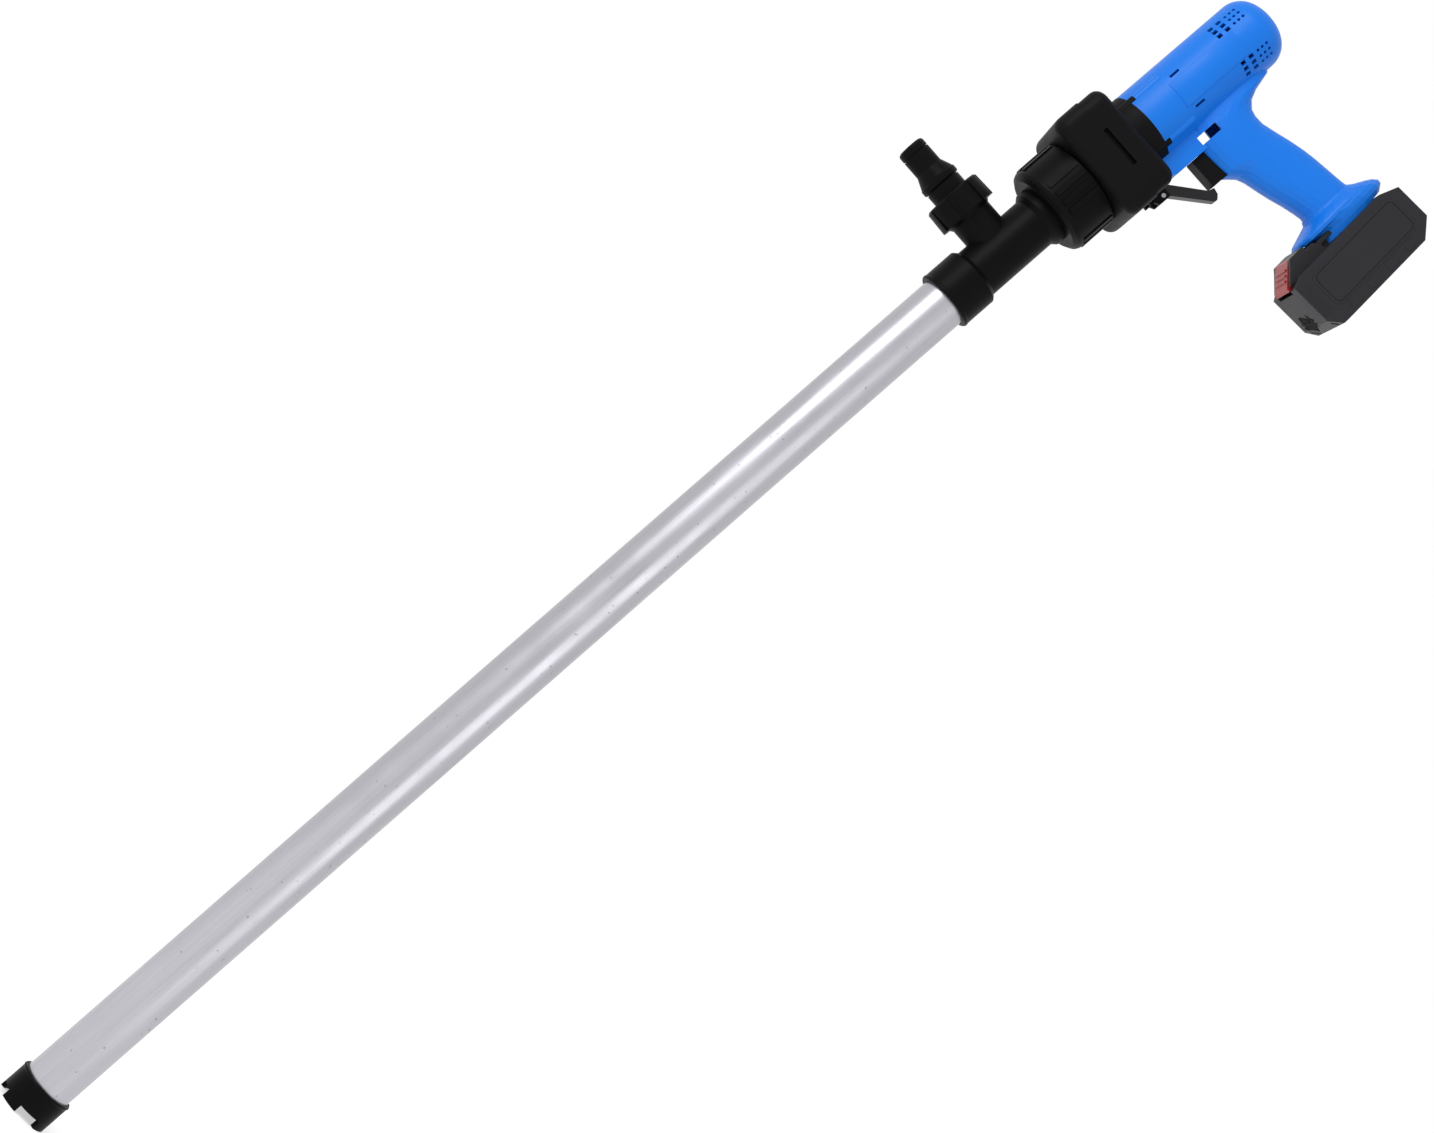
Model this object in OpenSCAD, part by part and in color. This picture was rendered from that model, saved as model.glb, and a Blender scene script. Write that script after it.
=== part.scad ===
// Cordless drum pump: an aluminium immersion tube with an axial impeller in its foot, a tee with a hose
// nipple, a square coupling housing clamped by a union nut, and a pistol-grip motor unit with a slide-on
// battery. Z runs up the pump axis from the suction inlet, +X points to the handle side, -X to the outlet.

/* [Tube] */
// Outside diameter of the immersion tube
tube_od = 42; // [38:0.5:46]
// Wall of the immersion tube
tube_wall = 1.5; // [1:0.1:2]
// Cut length of the immersion tube
tube_length = 953; // [300:1:1500]

/* [Foot cap] */
// Wall of the foot cap round the tube
foot_wall = 2.5; // [1.5:0.1:4]
// Height of the foot cap above the roots of its teeth
foot_height = 19.5; // [12:0.5:30]
// Thickness of the ledge that the tube stands on
foot_ledge = 4; // [2:0.5:6]
// Diameter of the suction inlet
inlet_d = 34; // [26:0.5:36]
// Number of teeth on the foot
tooth_count = 4; // [3:1:8]
// Length of the teeth
tooth_length = 6.5; // [3:0.5:10]
// Thickness of the teeth
tooth_thick = 4; // [2.5:0.1:6]
// Angle that one tooth covers
tooth_angle = 40; // [15:1:42]
// Turn of the teeth about the axis
tooth_turn = 247; // [0:1:360]
// Radius of the bead round the upper rims of foot cap and tee socket
rim_bead = 1.2; // [0.4:0.1:2]

/* [Impeller] */
// Diameter over the impeller blades
impeller_d = 37.4; // [28:0.2:37.8]
// Height of the impeller hub
impeller_height = 15; // [10:0.5:20]
// Diameter of the impeller hub
impeller_hub_d = 13; // [11:0.5:18]
// Number of impeller blades
blade_count = 3; // [2:1:5]
// Thickness of an impeller blade
blade_thick = 2; // [1:0.1:3]
// Twist of a blade over its height
blade_twist = 75; // [30:5:110]
// Height of the impeller above the roots of the foot's teeth
impeller_rise = 10; // [9:0.5:14]
// Height of the impeller nut
impeller_nut_height = 5; // [3:0.5:6]
// Width across the corners of the impeller nut
impeller_nut_d = 15; // [12:0.5:18]

/* [Shaft and bearings] */
// Diameter of the drive shaft
shaft_d = 8; // [6:0.5:9]
// Running clearance between the shaft and its bushes
running_gap = 0.05; // [0.02:0.01:0.1]
// Outside diameter of the shaft's guard tube
guard_od = 16; // [14:0.5:18]
// Wall of the guard tube
guard_wall = 1.5; // [1:0.1:2]
// Number of guide bushes along the guard tube
guide_count = 3; // [3:1:3]
// Length of a guide bush
guide_length = 12; // [8:1:20]
// Space between the impeller and the lower bearing carrier
carrier_gap = 4; // [2:0.5:8]
// Height of the lower bearing carrier
carrier_height = 24; // [18:1:32]
// Wall of the lower bearing carrier's rim and vanes
carrier_wall = 2; // [1.5:0.1:3]
// Length of the lower bush
bush_length = 12; // [8:0.5:16]
// Outside diameter of the lower bush
bush_od = 13; // [11:0.5:13]

/* [Tee] */
// Depth that the tube enters the tee
socket_depth = 30; // [20:1:40]
// Wall of the tee's socket
socket_wall = 4; // [3:0.1:6]
// Height of the chamfer above the socket
socket_chamfer = 4; // [2:0.5:6]
// Outside diameter of the tee's run
run_od = 42.6; // [40:0.2:46]
// Wall of the tee's run
run_wall = 4.3; // [3:0.1:5]
// Length of the tee's run from the tube's end to the upper collar
run_length = 66; // [56:1:100]
// Height of the branch above the tube's end
branch_rise = 31.5; // [26:0.5:40]
// Outside diameter of the branch
branch_od = 35.6; // [30:0.2:38]
// Wall of the branch
branch_wall = 4.8; // [3:0.1:6]
// Distance from the pump axis to the outlet nut
branch_reach = 39.3; // [34:0.1:60]
// Outside diameter of the tee's upper collar
collar_od = 49.8; // [46:0.2:54]
// Height of the upper collar with its chamfer
collar_height = 10.4; // [7:0.2:16]
// Height of the upper collar's chamfer
collar_chamfer = 4; // [2:0.5:5]
// Diameter of the flange on top of the tee
flange_od = 68; // [62:0.5:69]
// Thickness of the flange on top of the tee
flange_thick = 5; // [3:0.5:6]

/* [Outlet] */
// Diameter of the outlet nut
outlet_nut_d = 50.2; // [46:0.2:56]
// Height of the outlet nut
outlet_nut_height = 20.8; // [17:0.2:26]
// Lip of the outlet nut over the nipple's flange
outlet_lip = 3.2; // [2:0.2:5]
// Number of grip grooves round the outlet nut
outlet_groove_count = 8; // [6:1:12]
// Depth of the outlet nut's grooves
outlet_groove_depth = 1.5; // [0.8:0.1:2]
// Width of the outlet nut's grooves
outlet_groove_width = 4.4; // [2:0.1:6]
// Diameter of the threaded spigot under the outlet nut
outlet_thread_d = 39.4; // [34:0.2:40]
// Length of the threaded spigot under the outlet nut
outlet_thread_length = 12.4; // [8:0.2:14]
// Thickness of the flat gaskets
gasket_thick = 2; // [1:0.1:3]
// Diameter of the nipple's stub
nipple_stub_d = 30.4; // [26:0.2:31]
// Length of the stub from the outlet nut to the nipple's collar
nipple_stub_length = 10.6; // [6:0.2:20]
// Diameter of the nipple's collar
nipple_collar_d = 33; // [31:0.2:36]
// Height of the nipple's collar
nipple_collar_height = 6.3; // [4:0.1:10]
// Diameter at the foot of the nipple's cone
nipple_cone_d = 31.4; // [28:0.2:32]
// Height of the nipple's cone
nipple_cone_height = 9.3; // [6:0.1:14]
// Diameter of the nipple's hose tip
nipple_tip_d = 23.6; // [20:0.2:26]
// Length of the nipple's hose tip
nipple_tip_length = 23.2; // [16:0.2:40]
// Depth of the groove near the tip's end
nipple_groove = 1; // [0.5:0.1:1.5]
// Bore of the nipple
nipple_bore_d = 17; // [12:0.5:18]

/* [Union nut] */
// Diameter of the union nut without its ribs
union_nut_d = 76.8; // [76:0.2:84]
// Height of the union nut
union_nut_height = 38; // [32:0.5:46]
// Lip of the union nut under the tee's flange
union_lip = 3.4; // [2.4:0.2:5]
// Radial depth of the union nut's front shoulder
union_shoulder = 5; // [2:0.5:6]
// Wall of the union nut round the thread
union_wall = 3; // [2:0.1:3.5]
// Height of a grip rib on the union nut
union_rib_depth = 1; // [0.4:0.1:1.6]
// Width of a grip rib on the union nut
union_rib_width = 4.4; // [3:0.1:5]
// Grip ribs in each of the four groups
union_rib_count = 4; // [2:1:5]
// Angle between two grip ribs of a group
union_rib_pitch = 13; // [11:0.5:15]
// Clearance in the screw threads of the nuts
thread_gap = 0.3; // [0.2:0.05:0.5]
// Space between the union nut and the coupling housing
union_gap = 1.5; // [0.5:0.1:3]

/* [Coupling housing] */
// Width over the front half of the coupling housing
square_front_w = 95.6; // [90:0.2:110]
// Width over the rear half of the coupling housing
square_rear_w = 93.6; // [88:0.2:95]
// Height of the front half
square_front_h = 27.4; // [20:0.2:40]
// Height of the rear half
square_rear_h = 21.5; // [18:0.5:30]
// Radius of the upright corners
square_corner_r = 12; // [9:0.5:16]
// Radius of the front edges
square_front_r = 9; // [4:0.5:11]
// Radius of the rear edges
square_rear_r = 8; // [4:0.5:8.5]
// Diameter of the chamber round the shaft coupling
chamber_d = 40; // [34:0.5:44]
// Length of the slots in the sides of the housing
slot_length = 35.5; // [24:0.5:44]
// Width of the slots in the sides of the housing
slot_width = 4.4; // [2:0.2:6]
// Depth of the slots in the sides of the housing
slot_depth = 4; // [2:0.5:6]
// Distance of the corner screws from the pump axis, along X and Y
square_screw_at = 34.5; // [33:0.5:36]

/* [Shaft coupling] */
// Diameter of the jaw coupling
coupling_d = 30; // [26:0.5:32]
// Height of one coupling hub
coupling_hub_h = 15; // [10:0.5:16]
// Height of the jaws and the spider
coupling_jaw_h = 10; // [6:0.5:12]
// Number of jaws on each hub
jaw_count = 3; // [2:1:4]
// Clearance beside the jaws and at the coupling's faces
jaw_gap = 0.2; // [0.1:0.05:0.4]
// Diameter of the output spindle
spindle_d = 10; // [8:0.5:12]

/* [Trigger lock lever] */
// Distance of the lever's pivot from the pump axis
lever_pivot_x = 50.9; // [50.9:0.1:51.5]
// Distance of the lever's pivot in front of the housing's rear face
lever_pivot_back = 8.3; // [8:0.1:10]
// Length of the lever from its pivot to its tip, along X or Z
lever_length = 31; // [28:0.5:31.5]
// Thickness of the lever across
lever_thick = 11; // [7:0.5:12]
// Diameter of the lever's pivot pin
lever_pin_d = 3.6; // [2.5:0.1:4]
// Wall of the lever's eye round its pin
lever_eye = 2; // [1.5:0.1:2.2]
// Thickness of each ear that holds the pivot pin
lever_ear = 4; // [3:0.5:6]

/* [Motor housing] */
// Diameter of the motor housing at its front
barrel_front_d = 62.8; // [60:0.2:66]
// Diameter of the motor housing near its rear
barrel_rear_d = 60.8; // [56:0.2:62]
// Length of the motor housing
barrel_length = 134; // [120:1:150]
// Radius of the motor housing's rear edge
barrel_end_r = 19; // [10:0.5:24]
// Wall of the moulded housing
shell_wall = 2.8; // [2:0.1:3.4]
// Diameter of the black nose
nose_d = 63.2; // [60:0.2:66]
// Height of the black nose between the coupling housing and the motor housing
nose_height = 16.2; // [12:0.2:24]
// Length of the nose's spigot inside the coupling housing
nose_spigot = 16; // [10:0.5:18]
// Diameter of the nose's spigot
nose_spigot_d = 44; // [40:0.5:48]
// Depth that the nose enters the motor housing
nose_insert = 12; // [8:0.5:16]
// Diameter of the four screw bosses round the nose
boss_d = 9.2; // [8:0.2:11]
// Distance of the screw bosses from the axis
boss_at = 28; // [27:0.1:28.6]
// Length of the bosses past the front edge of the motor housing
boss_nose_length = 5; // [2:0.5:8]
// Length of the boss ridges on the motor housing
boss_ridge_length = 26; // [12:0.5:40]
// Length of the open window under the motor housing
window_length = 18.4; // [10:0.2:24]
// Height of the open window under the motor housing
window_height = 7.4; // [4:0.2:8]

/* [Vents] */
// Rings of large vent holes
vent_rings = 2; // [1:1:2]
// Length of a large vent hole along the axis
vent_length = 4.6; // [3:0.2:5]
// Width of a large vent hole
vent_width = 3.6; // [2:0.2:4]
// Distance of the first vent ring from the housing's rear end
vent_from_rear = 48; // [44:0.5:52]
// Spacing of the vent rings
vent_pitch = 8.4; // [7:0.2:9]
// Diameter of a small vent hole
small_vent_d = 2.6; // [1.5:0.1:3]
// Distance of the first ring of small vent holes from the rear end
small_vent_from_rear = 30; // [28:0.5:32]
// Spacing of the rings of small vent holes
small_vent_pitch = 4.6; // [4:0.1:5]
// Angle of the middle vent of each group above and below the side
vent_angle = 38; // [30:1:45]
// Angle between the vents of a group
vent_step = 10.5; // [9:0.5:12]

/* [Handle] */
// Distance from the pump axis to the underside of the handle's foot
handle_drop = 163; // [150:1:180]
// Depth of the handle's side view, from its chin to the back of its foot
handle_depth = 130; // [120:1:140]
// Width of the handle's foot
handle_width = 50; // [46:0.5:56]
// Tilt of the battery and the handle's foot
foot_tilt = 4; // [0:0.5:6]
// Width of the chin under the nose
chin_width = 26; // [20:0.5:32]

/* [Trigger] */
// Width of the trigger
trigger_width = 17; // [12:0.5:18]
// Height of the trigger
trigger_height = 26.2; // [22:0.2:28]
// Distance from the pump axis to the trigger's upper edge
trigger_top = 45.6; // [45.4:0.1:46]
// Distance that the trigger stands out of the handle
trigger_out = 11.2; // [9:0.2:12]
// Travel of the trigger
trigger_travel = 6; // [3:0.5:7]
// Clearance round moving buttons
slide_gap = 0.3; // [0.2:0.05:0.5]

/* [Battery] */
// Length of the battery
battery_length = 114.5; // [108:0.5:124]
// Height of the battery under the handle's foot
battery_height = 50.5; // [46:0.5:60]
// Width of the battery
battery_width = 72; // [70:0.5:80]
// Wall of the battery case
battery_wall = 2; // [1.5:0.1:2.4]
// Distance of the battery's front face from the middle of the handle's foot
battery_front = 77; // [76:0.5:80]
// Height of the raised step in front of the handle's foot
step_height = 13.9; // [13.2:0.1:15]
// Width of the raised step
step_width = 44; // [40:0.5:46]
// Width of the battery's rail
rail_width = 40; // [36:0.5:42]
// Height of the battery's rail
rail_height = 8.2; // [7:0.1:8.6]
// Undercut on each side of the rail
rail_undercut = 4; // [2:0.5:5]
// Clearance between the rail and its channel
rail_gap = 0.3; // [0.2:0.05:0.5]
// Diameter of a battery cell
cell_d = 18.2; // [17:0.1:18.4]
// Length of a battery cell
cell_length = 65; // [60:0.5:65.5]
// Travel of the release button
button_travel = 3; // [2:0.1:3.4]
// Width of the release button
button_width = 34; // [26:0.5:36]

/* [Hidden] */

$fn = 64;
hull_fn = 32;
arc_steps = 4;

// Overrun of cuts past a face, and of solids into the solid that carries them
over = 1;
// Slip between pieces that are pushed together
slip = 0.05;

black = "#1c1d1f";
soft_black = "#26272a";
blue = "#1f80ea";
red = "#d8352a";
steel = "#9a9da1";
aluminium = "#c9cbcd";
rubber = "#121314";
copper = "#a5673a";
white_plastic = "#e6e4dc";

// Heights along the pump axis
tube_r = tube_od / 2;
tube_in_r = tube_r - tube_wall;
foot_r = tube_r + foot_wall;
inlet_r = inlet_d / 2;
tube_z0 = foot_ledge;
tube_z1 = tube_z0 + tube_length;
socket_r = tube_r + socket_wall;
socket_z0 = tube_z1 - socket_depth;
run_r = run_od / 2;
run_in_r = run_r - run_wall;
branch_z = tube_z1 + branch_rise;
branch_r = branch_od / 2;
branch_in_r = branch_r - branch_wall;
collar_r = collar_od / 2;
collar_z0 = tube_z1 + run_length;
nut_z0 = collar_z0 + collar_height;
nut_z1 = nut_z0 + union_nut_height;
flange_r = flange_od / 2;
flange_z0 = nut_z0 + union_lip;
flange_z1 = flange_z0 + flange_thick;
square_z0 = nut_z1 + union_gap;
split_z = square_z0 + square_front_h;
square_z1 = split_z + square_rear_h;
housing_z0 = square_z1 + nose_height;
housing_z1 = housing_z0 + barrel_length;

// Points of a corner b rounded to radius r between its neighbours a and c
function corner_points(a, b, c, r) =
    r == 0 ? [b] :
    let (
        u = (a - b) / norm(a - b),
        v = (c - b) / norm(c - b),
        half = acos(max(-1, min(1, u * v))) / 2,
        centre = b + (u + v) / norm(u + v) * r / sin(half),
        start = b + u * r / tan(half) - centre,
        side = u[0] * v[1] - u[1] * v[0] > 0 ? -1 : 1,
        sweep = side * (180 - 2 * half)
    )
    [for (i = [0 : arc_steps])
        let (t = sweep * i / arc_steps)
        centre + [start[0] * cos(t) - start[1] * sin(t), start[0] * sin(t) + start[1] * cos(t)]];

// An outline whose points are [x, y, corner radius]
function rounded_outline(p) = [
    for (i = [0 : len(p) - 1])
        let (
            a = p[(i + len(p) - 1) % len(p)],
            b = p[i],
            c = p[(i + 1) % len(p)]
        )
        each corner_points([a[0], a[1]], [b[0], b[1]], [c[0], c[1]], b[2])
];

// A ring of rectangular section
module ring(outer_r, inner_r, z0, z1) {
    translate([0, 0, z0])
        difference() {
            cylinder(r = outer_r, h = z1 - z0);
            translate([0, 0, -over]) cylinder(r = inner_r, h = z1 - z0 + 2 * over);
        }
}

// A round bar or the cut of a round hole between two heights
module rod(r, z0, z1) {
    translate([0, 0, z0]) cylinder(r = r, h = z1 - z0);
}

// A box given by its two corners
module block(low, high) {
    translate(low) cube(high - low);
}

// A plate whose side view in X and Z is given, centred across Y
module side_plate(points, width) {
    rotate([90, 0, 0]) linear_extrude(height = width, center = true) polygon(points);
}

// Children turned so that their Z axis points out of the branch
module along_outlet() {
    translate([0, 0, branch_z]) rotate([0, -90, 0]) children();
}

// Foot cap
module foot_cap() {
    color(black)
        union() {
            rotate_extrude()
                polygon([
                    [inlet_r, 0], [foot_r, 0], [foot_r, foot_height - 2 * rim_bead],
                    [foot_r + rim_bead / 2, foot_height - rim_bead], [foot_r, foot_height],
                    [tube_r + slip, foot_height], [tube_r + slip, foot_ledge], [inlet_r, foot_ledge]
                ]);
            for (i = [0 : tooth_count - 1])
                rotate([0, 0, tooth_turn - tooth_angle / 2 + i * 360 / tooth_count])
                    rotate_extrude(angle = tooth_angle)
                        translate([foot_r - tooth_thick, -tooth_length])
                            square([tooth_thick, tooth_length + foot_ledge / 2]);
        }
}

// Immersion tube
module outer_tube() {
    color(aluminium) ring(tube_r, tube_in_r, tube_z0, tube_z1);
}

// Impeller and its nut
impeller_z1 = impeller_rise + impeller_height;
shaft_z0 = impeller_rise - impeller_nut_height;
shaft_r = shaft_d / 2;
impeller_r = impeller_d / 2;
blade_root = impeller_hub_d / 4;

module impeller_nut() {
    color(steel)
    difference() {
        translate([0, 0, shaft_z0]) cylinder(d = impeller_nut_d, h = impeller_nut_height, $fn = 6);
        rod(shaft_r, shaft_z0 - over, impeller_rise + over);
    }
}

module impeller() {
    color(black)
    difference() {
        union() {
            rod(impeller_hub_d / 2, impeller_rise, impeller_z1);
            intersection() {
                translate([0, 0, impeller_rise])
                    linear_extrude(height = impeller_height, twist = -blade_twist, slices = 6)
                        for (i = [0 : blade_count - 1])
                            rotate([0, 0, i * 360 / blade_count])
                                translate([blade_root, -blade_thick / 2])
                                    square([impeller_r + over - blade_root, blade_thick]);
                rod(impeller_r, impeller_rise, impeller_z1);
            }
        }
        rod(shaft_r, impeller_rise - over, impeller_z1 + over);
    }
}

// Lower bearing carrier: a rim with straight vanes that take the swirl out of the flow
carrier_z0 = impeller_z1 + carrier_gap;
carrier_z1 = carrier_z0 + carrier_height;
guard_r = guard_od / 2;
guard_z0 = carrier_z0 + bush_length;
carrier_hub_r = guard_r + carrier_wall;

module lower_bearing_carrier() {
    color(black)
    difference() {
        union() {
            ring(tube_in_r - slip, tube_in_r - carrier_wall, carrier_z0, carrier_z1);
            rod(carrier_hub_r, carrier_z0, carrier_z1);
            for (a = [0, 90])
                rotate([0, 0, a])
                    block(
                        [carrier_wall - tube_in_r, -carrier_wall / 2, carrier_z0],
                        [tube_in_r - carrier_wall, carrier_wall / 2, carrier_z1]
                    );
        }
        rod(bush_od / 2, carrier_z0 - over, guard_z0 + over);
        rod(guard_r, guard_z0, carrier_z1 + over);
    }
}

module lower_bush() {
    color(white_plastic) ring(bush_od / 2, shaft_r + running_gap, carrier_z0, guard_z0);
}

// Seal carrier that closes the top of the tee
plug_share = 0.36;
carrier_flange_share = 0.8;
carrier_flange = flange_thick * carrier_flange_share;
plug_z0 = flange_z1 - run_length * plug_share;
cap_z1 = flange_z1 + carrier_flange;
bearing_r = 11;
bearing_h = 7;
seal_r = 9;
seal_h = 7;
bearing_z0 = cap_z1 - bearing_h;
seal_z0 = bearing_z0 - seal_h;
guard_z1 = (plug_z0 + seal_z0) / 2 + carrier_wall;
cap_inset = 2;
cap_r = flange_r - cap_inset;

module shaft_guard_tube() {
    color(steel) ring(guard_r, guard_r - guard_wall, guard_z0, guard_z1);
}

// One of the guide bushes spaced along the guard tube
module guide_bush(i) {
    z = guard_z0 + (guard_z1 - guard_z0) * i / (guide_count + 1);
    color(white_plastic) ring(guard_r - guard_wall, shaft_r + running_gap, z, z + guide_length);
}

module seal_carrier() {
    color(soft_black)
    difference() {
        union() {
            rod(run_in_r - slip, plug_z0, flange_z1 + over);
            rod(cap_r, flange_z1, cap_z1);
        }
        rod(guard_r, plug_z0 - over, guard_z1);
        rod(shaft_r + carrier_wall, plug_z0, cap_z1);
        rod(seal_r, seal_z0, cap_z1);
        rod(bearing_r, bearing_z0, cap_z1 + over);
    }
}

module shaft_seal() {
    color(rubber) ring(seal_r, shaft_r + running_gap, seal_z0, bearing_z0);
}

module upper_bearing() {
    color(steel) ring(bearing_r, shaft_r + running_gap, bearing_z0, cap_z1);
}

// Seal between the immersion tube and the tee
ring_thick = 2.4;
ring_depth = 1.8;
ring_z0 = socket_z0 + socket_depth / 2;

module tube_o_ring() {
    color(rubber) ring(tube_r + ring_depth, tube_r, ring_z0, ring_z0 + ring_thick);
}

// Tee
thread_r = outlet_thread_d / 2;
thread_x1 = branch_reach + outlet_thread_length;
cone_height = 3;

module tee_outside() {
    rotate_extrude()
        polygon([
            [0, socket_z0], [socket_r - rim_bead / 2, socket_z0],
            [socket_r + rim_bead / 3, socket_z0 + rim_bead],
            [socket_r + rim_bead / 3, socket_z0 + 2 * rim_bead], [socket_r, socket_z0 + 3 * rim_bead],
            [socket_r, tube_z1], [run_r, tube_z1 + socket_chamfer],
            [run_r, collar_z0], [collar_r, collar_z0 + collar_chamfer], [collar_r, flange_z0],
            [flange_r, flange_z0], [flange_r, flange_z1], [0, flange_z1]
        ]);
    along_outlet()
        rotate_extrude()
            polygon([
                [0, 0], [branch_r, 0], [branch_r, branch_reach - cone_height],
                [thread_r + thread_gap, branch_reach], [thread_r, branch_reach],
                [thread_r, thread_x1], [0, thread_x1]
            ]);
}

module tee_body() {
    color(black)
    difference() {
        tee_outside();
        rod(tube_r + slip, socket_z0 - over, tube_z1);
        rod(tube_r + ring_depth, ring_z0, ring_z0 + ring_thick);
        rod(run_in_r, tube_z1 - over, flange_z1 + over);
        along_outlet() rod(branch_in_r, 0, thread_x1 + over);
    }
}

// Outlet: gasket, nipple and nut, built along the branch
nipple_x0 = thread_x1 + gasket_thick;
outlet_x1 = branch_reach + outlet_nut_height;
lip_x = outlet_x1 - outlet_lip;
stub_r = nipple_stub_d / 2;
nipple_flange_r = thread_r - thread_gap;
nipple_x1 = outlet_x1 + nipple_stub_length;
nipple_x2 = nipple_x1 + nipple_collar_height;
nipple_x3 = nipple_x2 + nipple_cone_height;
nipple_x4 = nipple_x3 + nipple_tip_length;
tip_r = nipple_tip_d / 2;
head_length = 8;
head_round = 2.4;

module outlet_gasket() {
    color(rubber) along_outlet() ring(nipple_flange_r, branch_in_r, thread_x1, nipple_x0);
}

module hose_nipple() {
    color(black)
    along_outlet()
    difference() {
        rotate_extrude()
            polygon([
                [0, nipple_x0], [nipple_flange_r, nipple_x0], [nipple_flange_r, lip_x],
                [stub_r, lip_x], [stub_r, nipple_x1 - nipple_groove],
                [stub_r - nipple_groove, nipple_x1 - nipple_groove], [stub_r - nipple_groove, nipple_x1],
                [nipple_collar_d / 2 - nipple_groove, nipple_x1],
                [nipple_collar_d / 2, nipple_x1 + nipple_groove],
                [nipple_collar_d / 2, nipple_x2 - nipple_groove],
                [nipple_collar_d / 2 - nipple_groove, nipple_x2], [nipple_cone_d / 2, nipple_x2],
                [tip_r, nipple_x3], [tip_r, nipple_x4 - head_length],
                [tip_r - nipple_groove, nipple_x4 - head_length],
                [tip_r - nipple_groove, nipple_x4 - head_length + nipple_groove],
                [tip_r, nipple_x4 - head_length + nipple_groove], [tip_r, nipple_x4 - head_round],
                [tip_r - head_round / 3, nipple_x4 - head_round / 3],
                [tip_r - head_round, nipple_x4], [0, nipple_x4]
            ]);
        rod(nipple_bore_d / 2, nipple_x0 - over, nipple_x4 + over);
    }
}

outlet_nut_r = outlet_nut_d / 2;

module outlet_nut() {
    color(black)
    along_outlet()
    difference() {
        rotate_extrude()
            polygon([
                [0, branch_reach], [outlet_nut_r, branch_reach],
                [outlet_nut_r - outlet_groove_depth / 2, outlet_x1 - outlet_groove_depth],
                [outlet_nut_r - 1.5 * outlet_groove_depth, outlet_x1], [0, outlet_x1]
            ]);
        for (i = [0 : outlet_groove_count - 1])
            rotate([0, 0, (i + 0.5) * 360 / outlet_groove_count])
                block(
                    [outlet_nut_r - outlet_groove_depth, -outlet_groove_width / 2, branch_reach - over],
                    [outlet_nut_r + over, outlet_groove_width / 2, outlet_x1 + over]
                );
        rod(thread_r + thread_gap, branch_reach - over, lip_x);
        rod(stub_r + thread_gap, branch_reach, outlet_x1 + over);
    }
}

// Union nut, with its grip ribs in four groups
union_nut_r = union_nut_d / 2;
spigot_r = union_nut_r - union_wall - thread_gap;
spigot_z0 = cap_z1 + gasket_thick;

module union_gasket() {
    color(rubber) ring(cap_r, chamber_d / 2, cap_z1, spigot_z0);
}

module union_nut() {
    rib_span = union_rib_pitch * (union_rib_count - 1);
    color(black)
    difference() {
        union() {
            rotate_extrude()
                polygon([
                    [0, nut_z0], [union_nut_r - union_shoulder, nut_z0],
                    [union_nut_r - union_shoulder / 4, nut_z0 + union_shoulder / 2],
                    [union_nut_r, nut_z0 + union_shoulder], [union_nut_r, nut_z1], [0, nut_z1]
                ]);
            for (g = [0 : 3], i = [0 : union_rib_count - 1])
                rotate([0, 0, g * 90 - rib_span / 2 + i * union_rib_pitch])
                    block(
                        [union_nut_r - over, -union_rib_width / 2, nut_z0 + 1.5 * union_shoulder],
                        [union_nut_r + union_rib_depth, union_rib_width / 2, nut_z1 - union_rib_depth]
                    );
        }
        rod(collar_r + thread_gap, nut_z0 - over, nut_z1);
        rod(union_nut_r - union_wall, flange_z0, nut_z1 + over);
    }
}

// Coupling housing: two rounded square halves
module square_half(width, z0, z1, edge_r, edge_up) {
    at = width / 2 - square_corner_r;
    round_z = edge_up ? z1 - edge_r : z0 + edge_r;
    flat_z = edge_up ? z0 : z1;
    hull()
        for (x = [-1, 1], y = [-1, 1])
            translate([x * at, y * at, 0]) {
                translate([0, 0, min(round_z, flat_z)])
                    cylinder(r = square_corner_r, h = abs(flat_z - round_z), $fn = hull_fn);
                translate([0, 0, round_z])
                    rotate_extrude($fn = hull_fn)
                        intersection() {
                            translate([square_corner_r - edge_r, 0]) circle(r = edge_r, $fn = hull_fn);
                            translate([0, -edge_r]) square([square_corner_r, 2 * edge_r]);
                        }
            }
}

module side_slots() {
    for (a = [90, 270])
        rotate([0, 0, a])
            block(
                [square_rear_w / 2 - slot_depth, -slot_length / 2, split_z - slot_width / 3],
                [square_front_w, slot_length / 2, split_z + slot_width * 2 / 3]
            );
}

square_screw_d = 4;
square_screw_head = 7.4;
screw_head_h = 3;

module square_screw_places() {
    for (x = [-1, 1], y = [-1, 1])
        translate([x * square_screw_at, y * square_screw_at, 0]) children();
}

screw_z0 = square_z0 + square_front_r + screw_head_h;
screw_z1 = square_z1 - screw_head_h / 2;

module screw_shape(r, head_r, z0, z1) {
    rod(r, z0, z1 - screw_head_h);
    rod(head_r, z1 - screw_head_h, z1);
}

module coupling_housing_front() {
    color(black)
    difference() {
        union() {
            square_half(square_front_w, square_z0, split_z, square_front_r, false);
            rod(spigot_r, spigot_z0, square_z0 + over);
        }
        rod(chamber_d / 2, spigot_z0 - over, split_z + over);
        side_slots();
        square_screw_places() rod(square_screw_d / 2, screw_z0, split_z + over);
    }
}

// Ears that carry the trigger lock lever
pivot_z = square_z1 - lever_pivot_back;
pin_r = lever_pin_d / 2;
ear_reach = lever_pivot_x + pin_r + lever_eye;
ear_y0 = lever_thick / 2 + slide_gap;
ear_y1 = ear_y0 + lever_ear;

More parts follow.
